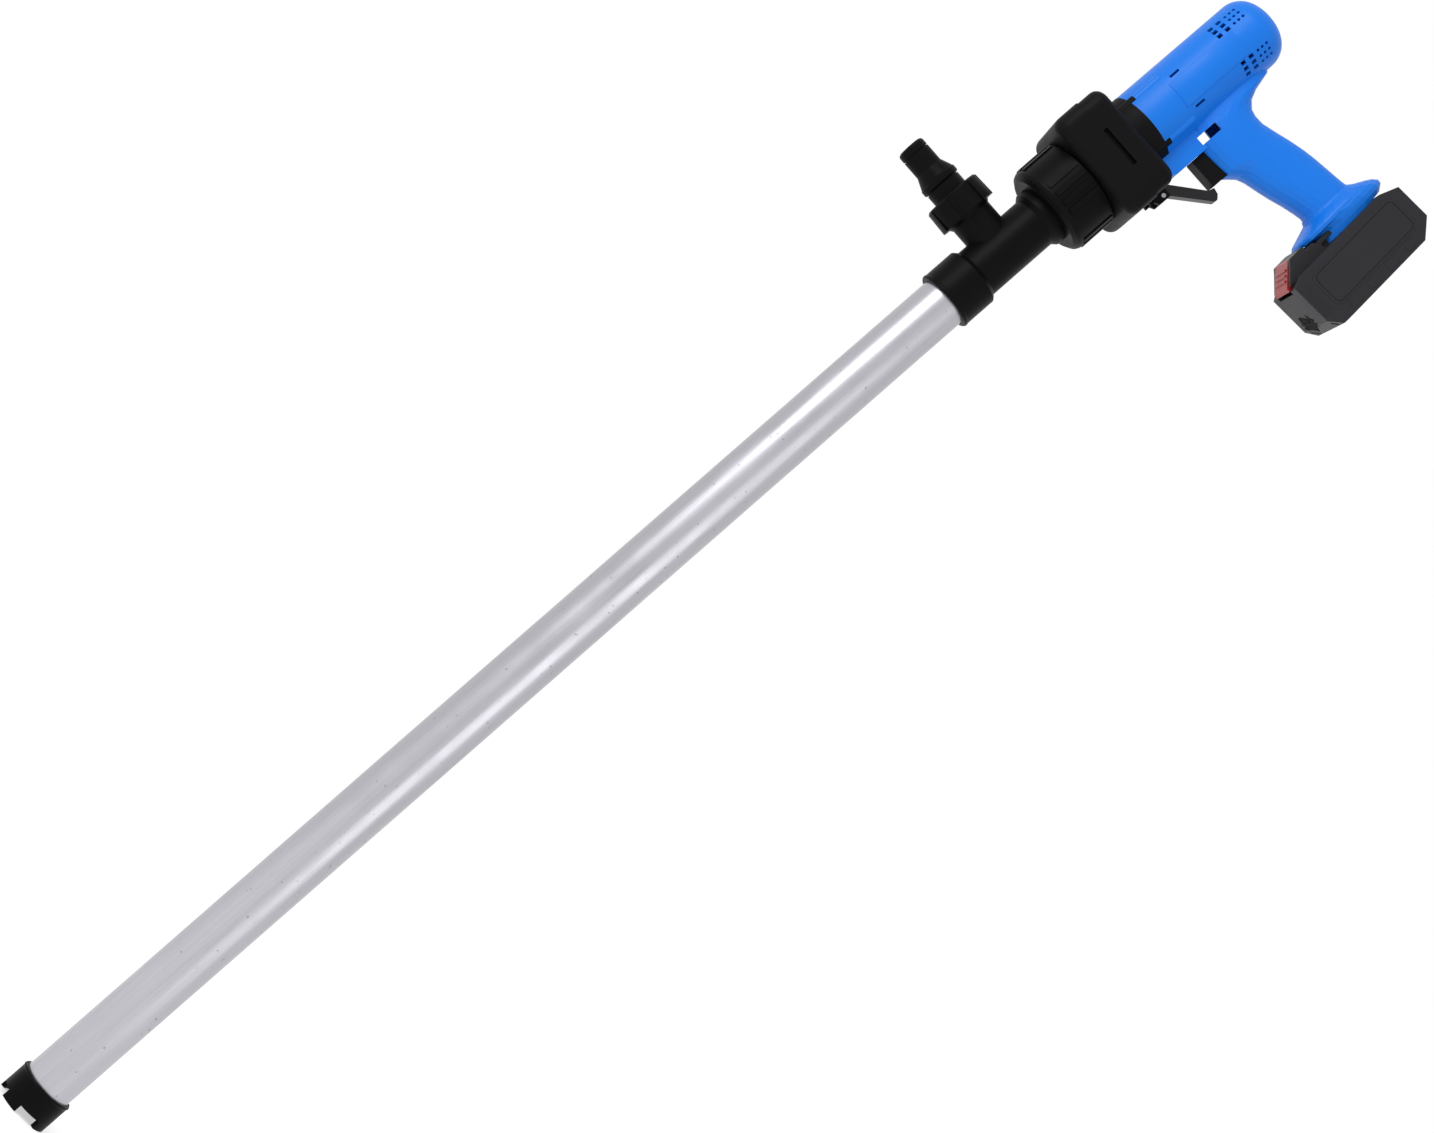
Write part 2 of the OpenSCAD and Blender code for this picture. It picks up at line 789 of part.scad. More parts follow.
module lever_ears() {
    for (side = [0, 1])
        mirror([0, side, 0])
            translate([0, (ear_y0 + ear_y1) / 2, 0])
                side_plate(
                    rounded_outline([
                        [square_rear_w / 2 - square_rear_r, split_z, 0],
                        [square_rear_w / 2 - square_rear_r, square_z1 - lever_ear, 0],
                        [ear_reach, square_z1 - lever_ear, lever_ear / 4],
                        [ear_reach, split_z + 1.5 * lever_ear, lever_ear / 4],
                        [ear_reach - lever_ear, split_z + lever_ear, 0],
                        [ear_reach - lever_ear, split_z, 0]
                    ]),
                    lever_ear
                );
}

module coupling_housing_rear() {
    color(black)
    difference() {
        union() {
            difference() {
                square_half(square_rear_w, split_z, square_z1, square_rear_r, true);
                rod(chamber_d / 2, split_z - over, square_z1);
                rod(nose_spigot_d / 2 + slip, square_z1 - nose_spigot - slip, square_z1 + over);
                side_slots();
            }
            lever_ears();
        }
        translate([lever_pivot_x, 0, pivot_z])
            rotate([90, 0, 0]) cylinder(r = pin_r, h = 2 * ear_y1 + over, center = true);
        square_screw_places() {
            rod(square_screw_d / 2, split_z - over, square_z1);
            rod(square_screw_head / 2, screw_z1 - screw_head_h, square_z1 + over);
        }
    }
}

module coupling_housing_screws() {
    color(steel)
        square_screw_places() screw_shape(square_screw_d / 2, square_screw_head / 2, screw_z0, screw_z1);
}

// Shaft coupling
jaw_z0 = square_z0 + coupling_jaw_h / 2;
jaw_z1 = jaw_z0 + coupling_jaw_h;
coupling_r = coupling_d / 2;
spindle_r = spindle_d / 2;
shaft_stop = 1;
shaft_z1 = jaw_z0 - shaft_stop;
spindle_z0 = jaw_z1 + shaft_stop;
spider_share = 0.42;
spider_core_r = coupling_r * spider_share;

jaw_angle_share = 0.3;
jaw_angle = 360 / jaw_count * jaw_angle_share;
jaw_relief = 0.5;

// Wedges that stand on a radius, one for each of count places round the axis
module wedges(count, turn, angle, inner_r, z0, z1) {
    half = tan(angle / 2);
    for (i = [0 : count - 1])
        rotate([0, 0, turn + i * 360 / count])
            translate([0, 0, z0])
                linear_extrude(height = z1 - z0)
                    polygon([
                        [inner_r, -inner_r * half], [coupling_d, -coupling_d * half],
                        [coupling_d, coupling_d * half], [inner_r, inner_r * half]
                    ]);
}

module coupling_hub(z0, z1, jaw_low, jaw_high, turn, bore_r) {
    color(aluminium)
    difference() {
        union() {
            rod(coupling_r, z0, z1);
            intersection() {
                rod(coupling_r - jaw_relief, jaw_low, jaw_high);
                wedges(jaw_count, turn, jaw_angle, spider_core_r + jaw_gap, jaw_low, jaw_high);
            }
        }
        rod(bore_r, min(z0, jaw_low) - over, max(z1, jaw_high) + over);
    }
}

module coupling_lower() {
    coupling_hub(jaw_z0 - coupling_hub_h, jaw_z0, jaw_z0 - over, jaw_z1 - jaw_gap, 0, shaft_r);
}

module coupling_upper() {
    coupling_hub(
        jaw_z1, jaw_z1 + coupling_hub_h, jaw_z0 + jaw_gap, jaw_z1 + over, 180 / jaw_count, spindle_r
    );
}

module coupling_spider() {
    color(red)
    difference() {
        rod(coupling_r, jaw_z0, jaw_z1);
        wedges(2 * jaw_count, 0, jaw_angle, spider_core_r, jaw_z0 - over, jaw_z1 + over);
    }
}

module drive_shaft() {
    color(steel) rod(shaft_r, shaft_z0, shaft_z1);
}

// Nose housing with the output spindle
nose_r = nose_d / 2;
nose_z0 = square_z1 - nose_spigot;
nose_z2 = housing_z0 + nose_insert;
barrel_r0 = barrel_front_d / 2;
barrel_r1 = barrel_rear_d / 2;
insert_r = barrel_r0 - shell_wall - slip;
spindle_bearing_r = 13;
spindle_bearing_h = 8;
bearing_inset = 1;
spindle_bearing_z0 = nose_z0 + bearing_inset;
motor_boss_r = 8.5;
motor_boss_h = 4.5;
motor_shaft_r = 2.5;
motor_shaft_out = 16;
motor_z0 = nose_z2;
spindle_z1 = motor_z0 - motor_boss_h - shaft_stop;
boss_r = boss_d / 2;

module boss_places() {
    for (a = [45 : 90 : 315])
        rotate([0, 0, a]) translate([boss_at, 0, 0]) children();
}

nose_screw_r = 1.8;
nose_screw_head_r = 3.2;
nose_screw_z1 = housing_z0 + boss_nose_length + boss_ridge_length / 2;

module nose_housing() {
    color(black)
    difference() {
        union() {
            rod(nose_spigot_d / 2, nose_z0, square_z1 + over);
            rod(nose_r, square_z1, housing_z0);
            rod(insert_r, housing_z0 - over, nose_z2);
            boss_places() rod(boss_r, square_z1, housing_z0 + boss_nose_length);
        }
        rod(spindle_r + carrier_wall, nose_z0 - over, nose_z2 + over);
        rod(spindle_bearing_r, nose_z0 - over, spindle_bearing_z0 + spindle_bearing_h);
        rod(motor_boss_r, motor_z0 - motor_boss_h, nose_z2 + over);
        boss_places() {
            rod(nose_screw_r, square_z1 - over, nose_z2 + over);
            rod(nose_screw_head_r, square_z1 - over, square_z1 + screw_head_h);
        }
    }
}

module nose_screws() {
    color(steel)
        boss_places() {
            rod(nose_screw_r, square_z1, nose_screw_z1);
            rod(nose_screw_head_r, square_z1, square_z1 + screw_head_h);
        }
}

module output_spindle() {
    color(steel)
    difference() {
        rod(spindle_r, spindle_z0, spindle_z1);
        rod(motor_shaft_r, motor_z0 - motor_shaft_out, spindle_z1 + over);
    }
}

module spindle_bearing() {
    color(steel)
        ring(
            spindle_bearing_r, spindle_r + running_gap,
            spindle_bearing_z0, spindle_bearing_z0 + spindle_bearing_h
        );
}

// Motor and fan
motor_r = 18.5;
motor_wall = 1.5;
motor_length = 56;
motor_z1 = motor_z0 + motor_length;
end_cap_h = 15;
motor_z2 = motor_z1 + end_cap_h;
magnet_thick = 2.4;
rotor_gap = 0.6;
rotor_r = motor_r - motor_wall - magnet_thick - rotor_gap;
rotor_margin = 6;
fan_r = 24;
fan_height = 11;
fan_gap = 2;
fan_z0 = motor_z2 + fan_gap;
fan_z1 = fan_z0 + fan_height;
fan_blades = 9;
fan_wall = 1.6;

module motor_can() {
    color(steel)
    difference() {
        union() {
            rod(motor_boss_r, motor_z0 - motor_boss_h, motor_z0 + over);
            rod(motor_r, motor_z0, motor_z1);
        }
        rod(motor_r - motor_wall - magnet_thick, motor_z0 + motor_wall, motor_z1 + over);
        rod(motor_shaft_r + running_gap, motor_z0 - motor_boss_h - over, motor_z1);
    }
}

module motor_end_cap() {
    color(black)
    difference() {
        rod(motor_r, motor_z1, motor_z2);
        rod(motor_r - 2 * motor_wall, motor_z1 - over, motor_z2 - motor_wall * 2);
        rod(motor_shaft_r + running_gap, motor_z1, motor_z2 + over);
        for (a = [0, 90])
            rotate([0, 0, a])
                block(
                    [-motor_r - over, -motor_wall * 2, motor_z1 + motor_wall * 2],
                    [motor_r + over, motor_wall * 2, motor_z1 + motor_wall * 4]
                );
    }
}

module motor_rotor() {
    color(copper)
    union() {
        rod(motor_shaft_r, motor_z0 - motor_shaft_out, fan_z1);
        difference() {
            rod(rotor_r, motor_z0 + rotor_margin, motor_z1 - rotor_margin);
            for (a = [0 : 60 : 300])
                rotate([0, 0, a])
                    block(
                        [rotor_r * 0.55, -motor_wall / 2, motor_z0],
                        [rotor_r + over, motor_wall / 2, motor_z1]
                    );
        }
        rod(rotor_r / 2, motor_z1 - rotor_margin - over, motor_z1 + end_cap_h / 2);
    }
}

module cooling_fan() {
    color(black)
    difference() {
        union() {
            rod(fan_r, fan_z0, fan_z0 + fan_wall);
            rod(motor_shaft_r * 2, fan_z0, fan_z1);
            for (i = [0 : fan_blades - 1])
                rotate([0, 0, i * 360 / fan_blades])
                    block([motor_shaft_r * 2 - over, -fan_wall / 2, fan_z0], [fan_r, fan_wall / 2, fan_z1]);
        }
        rod(motor_shaft_r, fan_z0 - over, fan_z1 + over);
    }
}

// Motor housing and handle
chin_gap = 3.2;
foot_mid_share = 0.677;
handle_z0 = square_z1 + chin_gap;
foot_mid_z = handle_z0 + handle_depth * foot_mid_share;

// Columns: distance down the handle, front and rear of its side view, half width, corner fullness
grip_shares = [
    [0.150, 0.254, 0.970, 0.33],
    [0.196, 0.254, 0.925, 0.355],
    [0.221, 0.254, 0.800, 0.365],
    [0.245, 0.256, 0.735, 0.37],
    [0.282, 0.262, 0.694, 0.374],
    [0.319, 0.266, 0.683, 0.374],
    [0.368, 0.270, 0.686, 0.370],
    [0.405, 0.274, 0.700, 0.364],
    [0.442, 0.280, 0.714, 0.360],
    [0.462, 0.312, 0.722, 0.356],
    [0.490, 0.350, 0.733, 0.350],
    [0.528, 0.372, 0.748, 0.344],
    [0.601, 0.397, 0.773, 0.336],
    [0.669, 0.423, 0.789, 0.334],
    [0.730, 0.451, 0.800, 0.336],
    [0.798, 0.477, 0.812, 0.342],
    [0.840, 0.490, 0.820, 0.352],
    [0.900, 0.480, 0.840, 0.360]
];

// The same for the foot, with distances up from its underside as shares of the drop and lengths to the
// front and rear of its middle as shares of the depth
foot_shares = [
    [-0.150, -0.185, 0.150, 0.34],
    [-0.131, -0.196, 0.165, 0.38],
    [-0.112, -0.277, 0.196, 0.44],
    [-0.097, -0.342, 0.231, 0.48],
    [-0.086, -0.356, 0.256, 0.495],
    [-0.070, -0.352, 0.288, 0.50],
    [-0.066, -0.285, 0.295, 0.50],
    [-0.042, -0.254, 0.322, 0.50],
    [-0.022, -0.256, 0.320, 0.495],
    [0, -0.258, 0.280, 0.48]
];

ring_sides = 24;
section_power = 0.82;

function bend(v) = sign(v) * pow(abs(v), section_power);

// One ring of a loft at distance x, between heights a and b, with half width w
function loft_ring(x, a, b, w) = [
    for (k = [0 : ring_sides - 1])
        let (t = 360 * k / ring_sides)
        [x, w * bend(sin(t)), (a + b) / 2 + (b - a) / 2 * bend(cos(t))]
];

module loft(rings) {
    n = ring_sides;
    m = len(rings);
    polyhedron(
        points = [for (r = rings) each r],
        faces = concat(
            [[for (k = [n - 1 : -1 : 0]) k]],
            [for (j = [0 : m - 2], k = [0 : n - 1])
                let (a = j * n + k, b = j * n + (k + 1) % n)
                [a, b, a + n]],
            [for (j = [0 : m - 2], k = [0 : n - 1])
                let (a = j * n + k, b = j * n + (k + 1) % n)
                [a + n, b, b + n]],
            [[for (k = [0 : n - 1]) (m - 1) * n + k]]
        )
    );
}

module grip_body(inset) {
    loft([for (s = grip_shares)
        loft_ring(
            s[0] * handle_drop,
            handle_z0 + s[1] * handle_depth + inset,
            handle_z0 + s[2] * handle_depth - inset,
            s[3] * handle_width - inset
        )]);
}

// Children placed in the tilted frame of the foot: X down from its underside, Z to the rear
module foot_frame() {
    translate([handle_drop, 0, foot_mid_z]) rotate([0, -foot_tilt, 0]) children();
}

module foot_body() {
    foot_frame()
        loft([for (s = foot_shares)
            loft_ring(s[0] * handle_drop, s[1] * handle_depth, s[2] * handle_depth, s[3] * handle_width)]);
}

// Profile of the motor housing, with its rear edge as an arc
module barrel_body(inset, z0) {
    end_z = housing_z1 - inset;
    r0 = barrel_r0 - inset;
    r1 = barrel_r1 - inset;
    edge = barrel_end_r - inset;
    rotate_extrude()
        polygon(concat(
            [[0, z0], [r0, z0]],
            [for (i = [0 : 12])
                let (t = 90 * i / 12)
                [r1 - edge + edge * cos(t), end_z - edge + edge * sin(t)]],
            [[0, end_z]]
        ));
}

// Chin under the nose, in front of the trigger
chin_reach = 14;
chin_drop = barrel_r0 + chin_reach;

module chin_body(inset) {
    side_plate(
        rounded_outline([
            [barrel_r0 - 2 * shell_wall, handle_z0 + inset, 0],
            [chin_drop - shell_wall - inset, handle_z0 + inset, 2 * shell_wall - inset],
            [chin_drop - inset, handle_z0 + 3 * shell_wall, 0],
            [chin_drop - inset, handle_z0 + handle_depth * 0.32, 0],
            [barrel_r0 - 2 * shell_wall, handle_z0 + handle_depth * 0.32, 0]
        ]),
        chin_width - 2 * inset
    );
}

switch_share = 0.435;
switch_length = 24;
switch_z0 = handle_z0 + handle_depth * switch_share;
switch_z1 = switch_z0 + switch_length;
switch_half = 8;
switch_x0 = trigger_top + slide_gap;
switch_x1 = switch_x0 + trigger_height - switch_half / 2;
trigger_x0 = trigger_top;
trigger_x1 = trigger_top + trigger_height;
grip_front_share = 0.268;
trigger_root = 9;
grip_front_z = handle_z0 + handle_depth * grip_front_share;
trigger_z0 = grip_front_z - trigger_out;
trigger_z1 = grip_front_z + trigger_root;

// Vent holes in two groups on each side
module vent_cuts() {
    for (side = [-1, 1], group = [-1, 1], i = [-1 : 1]) {
        a = side * 90 + group * vent_angle + i * vent_step;
        for (j = [0 : vent_rings - 1])
            rotate([0, 0, a])
                block(
                    [
                        barrel_r1 - 2 * shell_wall, -vent_width / 2,
                        housing_z1 - vent_from_rear + j * vent_pitch
                    ],
                    [
                        barrel_r0 + over, vent_width / 2,
                        housing_z1 - vent_from_rear + j * vent_pitch + vent_length
                    ]
                );
        for (j = [0 : 2])
            translate([0, 0, housing_z1 - small_vent_from_rear + j * small_vent_pitch])
                rotate([0, 0, a])
                    translate([barrel_r1 / 2, 0, 0])
                        rotate([0, 90, 0]) cylinder(d = small_vent_d, h = barrel_r1);
    }
}

side_slot_length = 9.5;
side_slot_width = 2.4;
side_slot_angle = 30;
side_slot_share = 0.27;
side_slot_z = housing_z0 + barrel_length * side_slot_share;

module barrel_slots() {
    for (side = [-1, 1], group = [-1, 1])
        rotate([0, 0, side * 90 + group * side_slot_angle])
            block(
                [barrel_r0 - 2 * shell_wall, -side_slot_width / 2, side_slot_z],
                [barrel_r0 + over, side_slot_width / 2, side_slot_z + side_slot_length]
            );
}

window_share = 0.293;
window_z0 = handle_z0 + handle_depth * window_share;
window_x0 = barrel_r0 + shell_wall;

// Housing screws, entered from the far side
housing_screw_r = 1.5;
housing_screw_head_r = 2.8;
housing_boss_r = 3.6;
housing_screw_sink = 5;

// Distance down the handle, distance to the rear, and half width of the housing there
screw_place_shares = [
    [0.236, 0.105, 0.26], [0.490, 0.548, 0.344], [0.720, 0.615, 0.336],
    [-0.117, 1.008, 0.44], [0.117, 1.008, 0.44]
];

function screw_seat(s) = s[2] * handle_width - housing_screw_sink;

// Children along Y at each screw, with Z turned to point to the far side
module at_screw(s) {
    translate([s[0] * handle_drop, 0, handle_z0 + s[1] * handle_depth]) rotate([-90, 0, 0]) children();
}

module housing_bosses() {
    for (s = screw_place_shares)
        at_screw(s) rod(housing_boss_r, -screw_seat(s) - shell_wall, screw_seat(s) + shell_wall);
}

module housing_screw_cuts() {
    for (s = screw_place_shares)
        at_screw(s) {
            rod(housing_screw_r, -screw_seat(s), screw_seat(s) + over);
            rod(housing_screw_head_r, screw_seat(s), handle_width);
        }
}

// Inner ribs that hold the motor and the switch
module motor_ribs() {
    for (z = [motor_z0 + motor_wall * 2, motor_z1 - rotor_margin])
        ring(barrel_r0 - shell_wall / 2, motor_r, z, z + shell_wall);
}

rib_half = handle_width * 0.335;

module switch_ribs() {
    for (z = [switch_z0 + shell_wall, switch_z1 - 2 * shell_wall])
        block(
            [trigger_x0 - shell_wall, -rib_half, z],
            [trigger_x1, rib_half, z + shell_wall]
        );
}

channel_width = rail_width + 2 * rail_gap;
channel_height = rail_height + rail_gap;
foot_floor = 3;

// Channel in the foot that the battery's rail slides into, open to the front
module rail_channel() {
    foot_frame() {
        block(
            [-channel_height, -channel_width / 2, -handle_depth],
            [-rail_height + rail_undercut, channel_width / 2, rail_z1 + rail_gap]
        );
        block(
            [-channel_height, -channel_width / 2 + rail_undercut, -handle_depth],
            [over, channel_width / 2 - rail_undercut, rail_z1 + rail_gap]
        );
    }
}

rail_front_share = 0.27;
rail_rear_share = 0.19;
block_front_share = 0.1;
block_rear_share = 0.14;
rail_z0 = -handle_depth * rail_front_share;
rail_z1 = handle_depth * rail_rear_share;
block_z0 = -handle_depth * block_front_share;
block_z1 = handle_depth * block_rear_share;
block_half = 12;
block_body = 6;
block_top = channel_height + foot_floor + block_body;

module housing_shell() {
    difference() {
        union() {
            difference() {
                union() {
                    barrel_body(0, housing_z0);
                    grip_body(0);
                    foot_body();
                    chin_body(0);
                }
                barrel_body(shell_wall, housing_z0 - over);
                grip_body(shell_wall);
            }
            boss_places() rod(boss_r, housing_z0 + boss_nose_length, nose_screw_z1 + boss_ridge_length / 2);
            motor_ribs();
            switch_ribs();
            housing_bosses();
        }
        rod(nose_r + slip, square_z1 - over, housing_z0);
        rod(insert_r, housing_z0 - over, nose_z2);
        boss_places() rod(boss_r, square_z1 - over, housing_z0 + boss_nose_length);
        boss_places() rod(nose_screw_r, housing_z0, nose_screw_z1);
        vent_cuts();
        barrel_slots();
        rail_channel();
        foot_frame()
            block(
                [-block_top, -block_half, block_z0],
                [-channel_height + over, block_half, block_z1]
            );
        block(
            [window_x0, -handle_width, window_z0],
            [window_x0 + window_height, handle_width, window_z0 + window_length]
        );
        block(
            [trigger_x0 - slide_gap, -trigger_width / 2 - slide_gap, grip_front_z - trigger_out],
            [trigger_x1 + slide_gap, trigger_width / 2 + slide_gap, switch_z0]
        );
        block([switch_x0, -switch_half, switch_z0], [switch_x1, switch_half, switch_z1]);
        housing_screw_cuts();
    }
}

module housing_near() {
    color(blue)
    intersection() {
        housing_shell();
        block([-handle_width, -handle_width, 0], [2 * handle_drop, 0, 2 * housing_z1]);
    }
}

module housing_far() {
    color(blue)
    intersection() {
        housing_shell();
        block([-handle_width, 0, 0], [2 * handle_drop, handle_width, 2 * housing_z1]);
    }
}

module housing_screws() {
    color(steel)
        for (s = screw_place_shares)
            at_screw(s) {
                rod(housing_screw_r, -screw_seat(s), screw_seat(s) + screw_head_h / 2);
                rod(housing_screw_head_r, screw_seat(s), screw_seat(s) + screw_head_h * 0.7);
            }
}

// Trigger and switch
plunger_r = 2.2;
spring_r = 3.6;
spring_pocket = trigger_travel + 10;

module switch_body() {
    color(soft_black)
    difference() {
        block([switch_x0, -switch_half, switch_z0], [switch_x1, switch_half, switch_z1]);
        translate([(trigger_x0 + trigger_x1) / 2, 0, 0])
            rod(spring_r + slide_gap, switch_z0 - over, switch_z0 + spring_pocket);
    }
}

module trigger() {
    round_r = trigger_height * 0.28;
    color(black)
    union() {
        side_plate(
            rounded_outline([
                [trigger_x0, trigger_z0, round_r / 6],
                [trigger_x0, trigger_z1, 0],
                [trigger_x1, trigger_z1, 0],
                [trigger_x1, trigger_z0, round_r / 6]
            ]),
            trigger_width
        );
        translate([(trigger_x0 + trigger_x1) / 2, 0, 0]) rod(plunger_r, trigger_z1 - over, switch_z0 + over);
    }
}

module trigger_spring() {
    color(steel)
        translate([(trigger_x0 + trigger_x1) / 2, 0, 0])
            ring(spring_r, plunger_r, trigger_z1, switch_z0 + over);
}

// Trigger lock lever
module lever_pin() {
    color(steel)
        translate([lever_pivot_x, 0, pivot_z])
            rotate([90, 0, 0]) cylinder(r = pin_r, h = 2 * ear_y1, center = true);
}

// Side view of the lever from its pivot, with corner radii, in shares of its length
lever_shares = [
    [0.085, 0.020, 0], [0.100, 0.145, 0.08], [0.985, 0.945, 0.06], [0.990, 1.025, 0.06],
    [0.880, 1.130, 0.05], [0.705, 1.165, 0.02], [0.660, 1.000, 0.03], [-0.150, 0.300, 0.03],
    [-0.100, 0.020, 0]
];

module trigger_lock_lever() {
    color(black)
    translate([lever_pivot_x, 0, pivot_z])
        difference() {
            union() {
                rotate([90, 0, 0]) cylinder(r = pin_r + lever_eye, h = lever_thick, center = true);
                side_plate(rounded_outline(lever_shares * lever_length), lever_thick);
            }
            rotate([90, 0, 0]) cylinder(r = pin_r + running_gap, h = lever_thick + over, center = true);
        }
}

// Battery
battery_z0 = -battery_front;
battery_z1 = battery_length - battery_front;
battery_half = battery_width / 2;
case_split = battery_height * 0.26;
cheek_share = 0.11;
cheek = battery_length * cheek_share;

// The battery's outline in side view and in plan, moved in by inset
module battery_block(inset) {
    low = battery_z0 + inset;
    high = battery_z1 - inset;
    bottom = battery_height - inset;
    half = battery_half - inset;
    intersection() {
        side_plate(
            [
                [inset, low + 0.8 * cheek], [inset, high - 1.2 * cheek], [inset + cheek / 2, high],
                [bottom - cheek, high], [bottom, high - 1.2 * cheek], [bottom, low + 0.6 * cheek],
                [bottom - 0.8 * cheek, low], [inset + 0.4 * cheek, low]
            ],
            2 * half
        );
        rotate([0, 90, 0])
            linear_extrude(height = battery_height)
                polygon([
                    [-high, -half], [-low - 0.9 * cheek, -half], [-low, -half + cheek / 2],
                    [-low, half - cheek / 2], [-low - 0.9 * cheek, half], [-high, half]
                ]);
    }
}

blade_pitch = 8;
blade_places = [-blade_pitch, 0, blade_pitch];
blade_half = 0.5;

// Side view of the step: height above the battery's top, distance from its front face to its rear
step_shares = [
    [-0.10, 0.03], [0.78, 0.31], [1, 0.37], [1, 0.68], [0.74, 0.70], [0.74, 0.86], [0.40, 0.968],
    [-0.10, 0.968]
];
lip_share = 0.25;
step_length = battery_front - handle_depth * lip_share;

module step_body() {
    side_plate(
        [for (q = step_shares) [-q[0] * step_height, battery_z0 + q[1] * step_length]],
        step_width
    );
}

// Posts that the case screws run through, at the ends of the cell pack
post_r = 3.4;
post_screw_r = 1.3;
post_head_r = 2.5;
post_head_h = 2;
post_seat = 36;
post_share = 0.66;
post_screw_x0 = battery_wall + post_r;
post_inset = battery_wall + 0.9 * post_r;

// Children along X at each screw post
module screw_posts() {
    for (y = [-post_share, post_share], z = [battery_z0 + post_inset, battery_z1 - post_inset])
        translate([0, y * battery_half, z]) rotate([0, 90, 0]) children();
}

module case_posts(x0, x1) {
    intersection() {
        screw_posts() rod(post_r, x0, x1);
        battery_block(battery_wall / 2);
    }
}

module battery_case_upper() {
    color(soft_black)
    foot_frame()
    difference() {
        union() {
            difference() {
                intersection() {
                    battery_block(0);
                    block(
                        [-over, -battery_width, -battery_length],
                        [case_split, battery_width, battery_length]
                    );
                }
                battery_block(battery_wall);
            }
            step_body();
            block(
                [0, -button_width / 2, battery_z0 + battery_wall / 2],
                [
                    shelf_x + battery_wall, button_width / 2,
                    battery_z0 + button_deep + slide_gap + battery_wall
                ]
            );
            case_posts(battery_wall, case_split);
            block(
                [-rail_height, -rail_width / 2, rail_z0],
                [-rail_height + rail_undercut - rail_gap, rail_width / 2, rail_z1]
            );
            block(
                [-rail_height, -rail_width / 2 + rail_undercut, rail_z0],
                [over, rail_width / 2 - rail_undercut, rail_z1]
            );
        }
        for (y = blade_places)
            block(
                [-rail_height - over, y - blade_half - rail_gap, block_z0 + over],
                [-over, y + blade_half + rail_gap, rail_z1 + over]
            );
        button_pocket();
        screw_posts() rod(post_screw_r, post_screw_x0, case_split + over);
    }
}

// Release button on the sloping front of the step
button_bottom = 4.6;
button_deep = 19;
button_proud = 0.5;
shelf_x = button_bottom + button_travel + slide_gap;
button_spring_r = 2;
button_spring_z = battery_z0 + button_deep * 0.45;

// Side view of the button: distance below the battery's top, distance from its front face
module button_face(grow, drop) {
    side_plate(
        [
            [-step_height - grow, battery_z0 + step_length * 0.37 - grow],
            [-step_height - grow, battery_z0 + button_deep + grow],
            [button_bottom + drop, battery_z0 + button_deep + grow],
            [button_bottom + drop, battery_z0 - button_proud - grow],
            [button_bottom / 3, battery_z0 - button_proud - grow],
            [-step_height * 0.78, battery_z0 + step_length * 0.29 - grow]
        ],
        button_width + 2 * grow
    );
}

module button_pocket() {
    button_face(slide_gap, button_travel + slide_gap);
}

module release_button() {
    color(red)
    foot_frame()
    difference() {
        button_face(0, 0);
        translate([-button_travel, 0, button_spring_z])
            rotate([0, 90, 0])
                rod(button_spring_r + slide_gap, 0, button_bottom + button_travel + over);
    }
}

module release_spring() {
    color(steel)
    foot_frame()
        translate([0, 0, button_spring_z])
            rotate([0, 90, 0]) ring(button_spring_r, button_spring_r / 2, 0, shelf_x);
}

module battery_case_lower() {
    color(soft_black)
    foot_frame()
    difference() {
        union() {
            difference() {
                intersection() {
                    battery_block(0);
                    block(
                        [case_split, -battery_width, -battery_length],
                        [battery_height, battery_width, battery_length]
                    );
                }
                battery_block(battery_wall);
            }
            case_posts(case_split, battery_height);
        }
        screw_posts() {
            rod(post_screw_r, case_split - over, post_seat + over);
            rod(post_head_r + slip, post_seat, battery_height + over);
        }
    }
}

module battery_screws() {
    color(steel)
        foot_frame()
            screw_posts() {
                rod(post_screw_r, post_screw_x0, post_seat);
                rod(post_head_r, post_seat, post_seat + post_head_h);
            }
}

cell_gap = 0.4;
cell_clear = 0.5;
cell_pitch = cell_d + cell_gap;
cell_x0 = battery_height - battery_wall - cell_clear - cell_d / 2 - cell_pitch;
cell_z0 = (battery_z0 + battery_z1) / 2 - 2 * cell_pitch;

module battery_cells() {
    color("#3f9a6b")
        foot_frame()
            for (row = [0, 1], i = [0 : 4])
                translate([cell_x0 + row * cell_pitch, 0, cell_z0 + i * cell_pitch])
                    rotate([90, 0, 0]) cylinder(d = cell_d, h = cell_length, center = true);
}

module cell_holder() {
    color(white_plastic)
    foot_frame()
        intersection() {
            battery_block(battery_wall);
            for (side = [0, 1])
                mirror([0, side, 0])
                    block(
                        [cell_x0 - cell_d / 2, cell_length / 2, -battery_length],
                        [battery_height, battery_half, battery_length]
                    );
        }
}

// Terminal block in the foot
blade_inset = 3;
blade_end = 2;

module terminal_block() {
    color(soft_black)
        foot_frame()
            union() {
                block([-block_top, -block_half, block_z0], [-channel_height, block_half, block_z1]);
                for (y = blade_places)
                    block(
                        [-channel_height - over, y - blade_half, block_z0 + blade_inset],
                        [-blade_end, y + blade_half, block_z1 - blade_inset]
                    );
            }
}

foot_cap();
outer_tube();
impeller_nut();
impeller();
lower_bearing_carrier();
lower_bush();
shaft_guard_tube();
guide_bush(1);  // guide_bush_1
guide_bush(2);  // guide_bush_2
guide_bush(3);  // guide_bush_3
drive_shaft();
tube_o_ring();
tee_body();
seal_carrier();
shaft_seal();
upper_bearing();
outlet_gasket();
hose_nipple();
outlet_nut();
union_gasket();
union_nut();
coupling_housing_front();
coupling_housing_rear();
coupling_housing_screws();
coupling_lower();
coupling_spider();
coupling_upper();
output_spindle();
spindle_bearing();
lever_pin();
trigger_lock_lever();
nose_housing();
nose_screws();
housing_near();
housing_far();
housing_screws();
motor_can();
motor_end_cap();
motor_rotor();
cooling_fan();
switch_body();
trigger();
trigger_spring();
terminal_block();
battery_case_upper();
battery_case_lower();
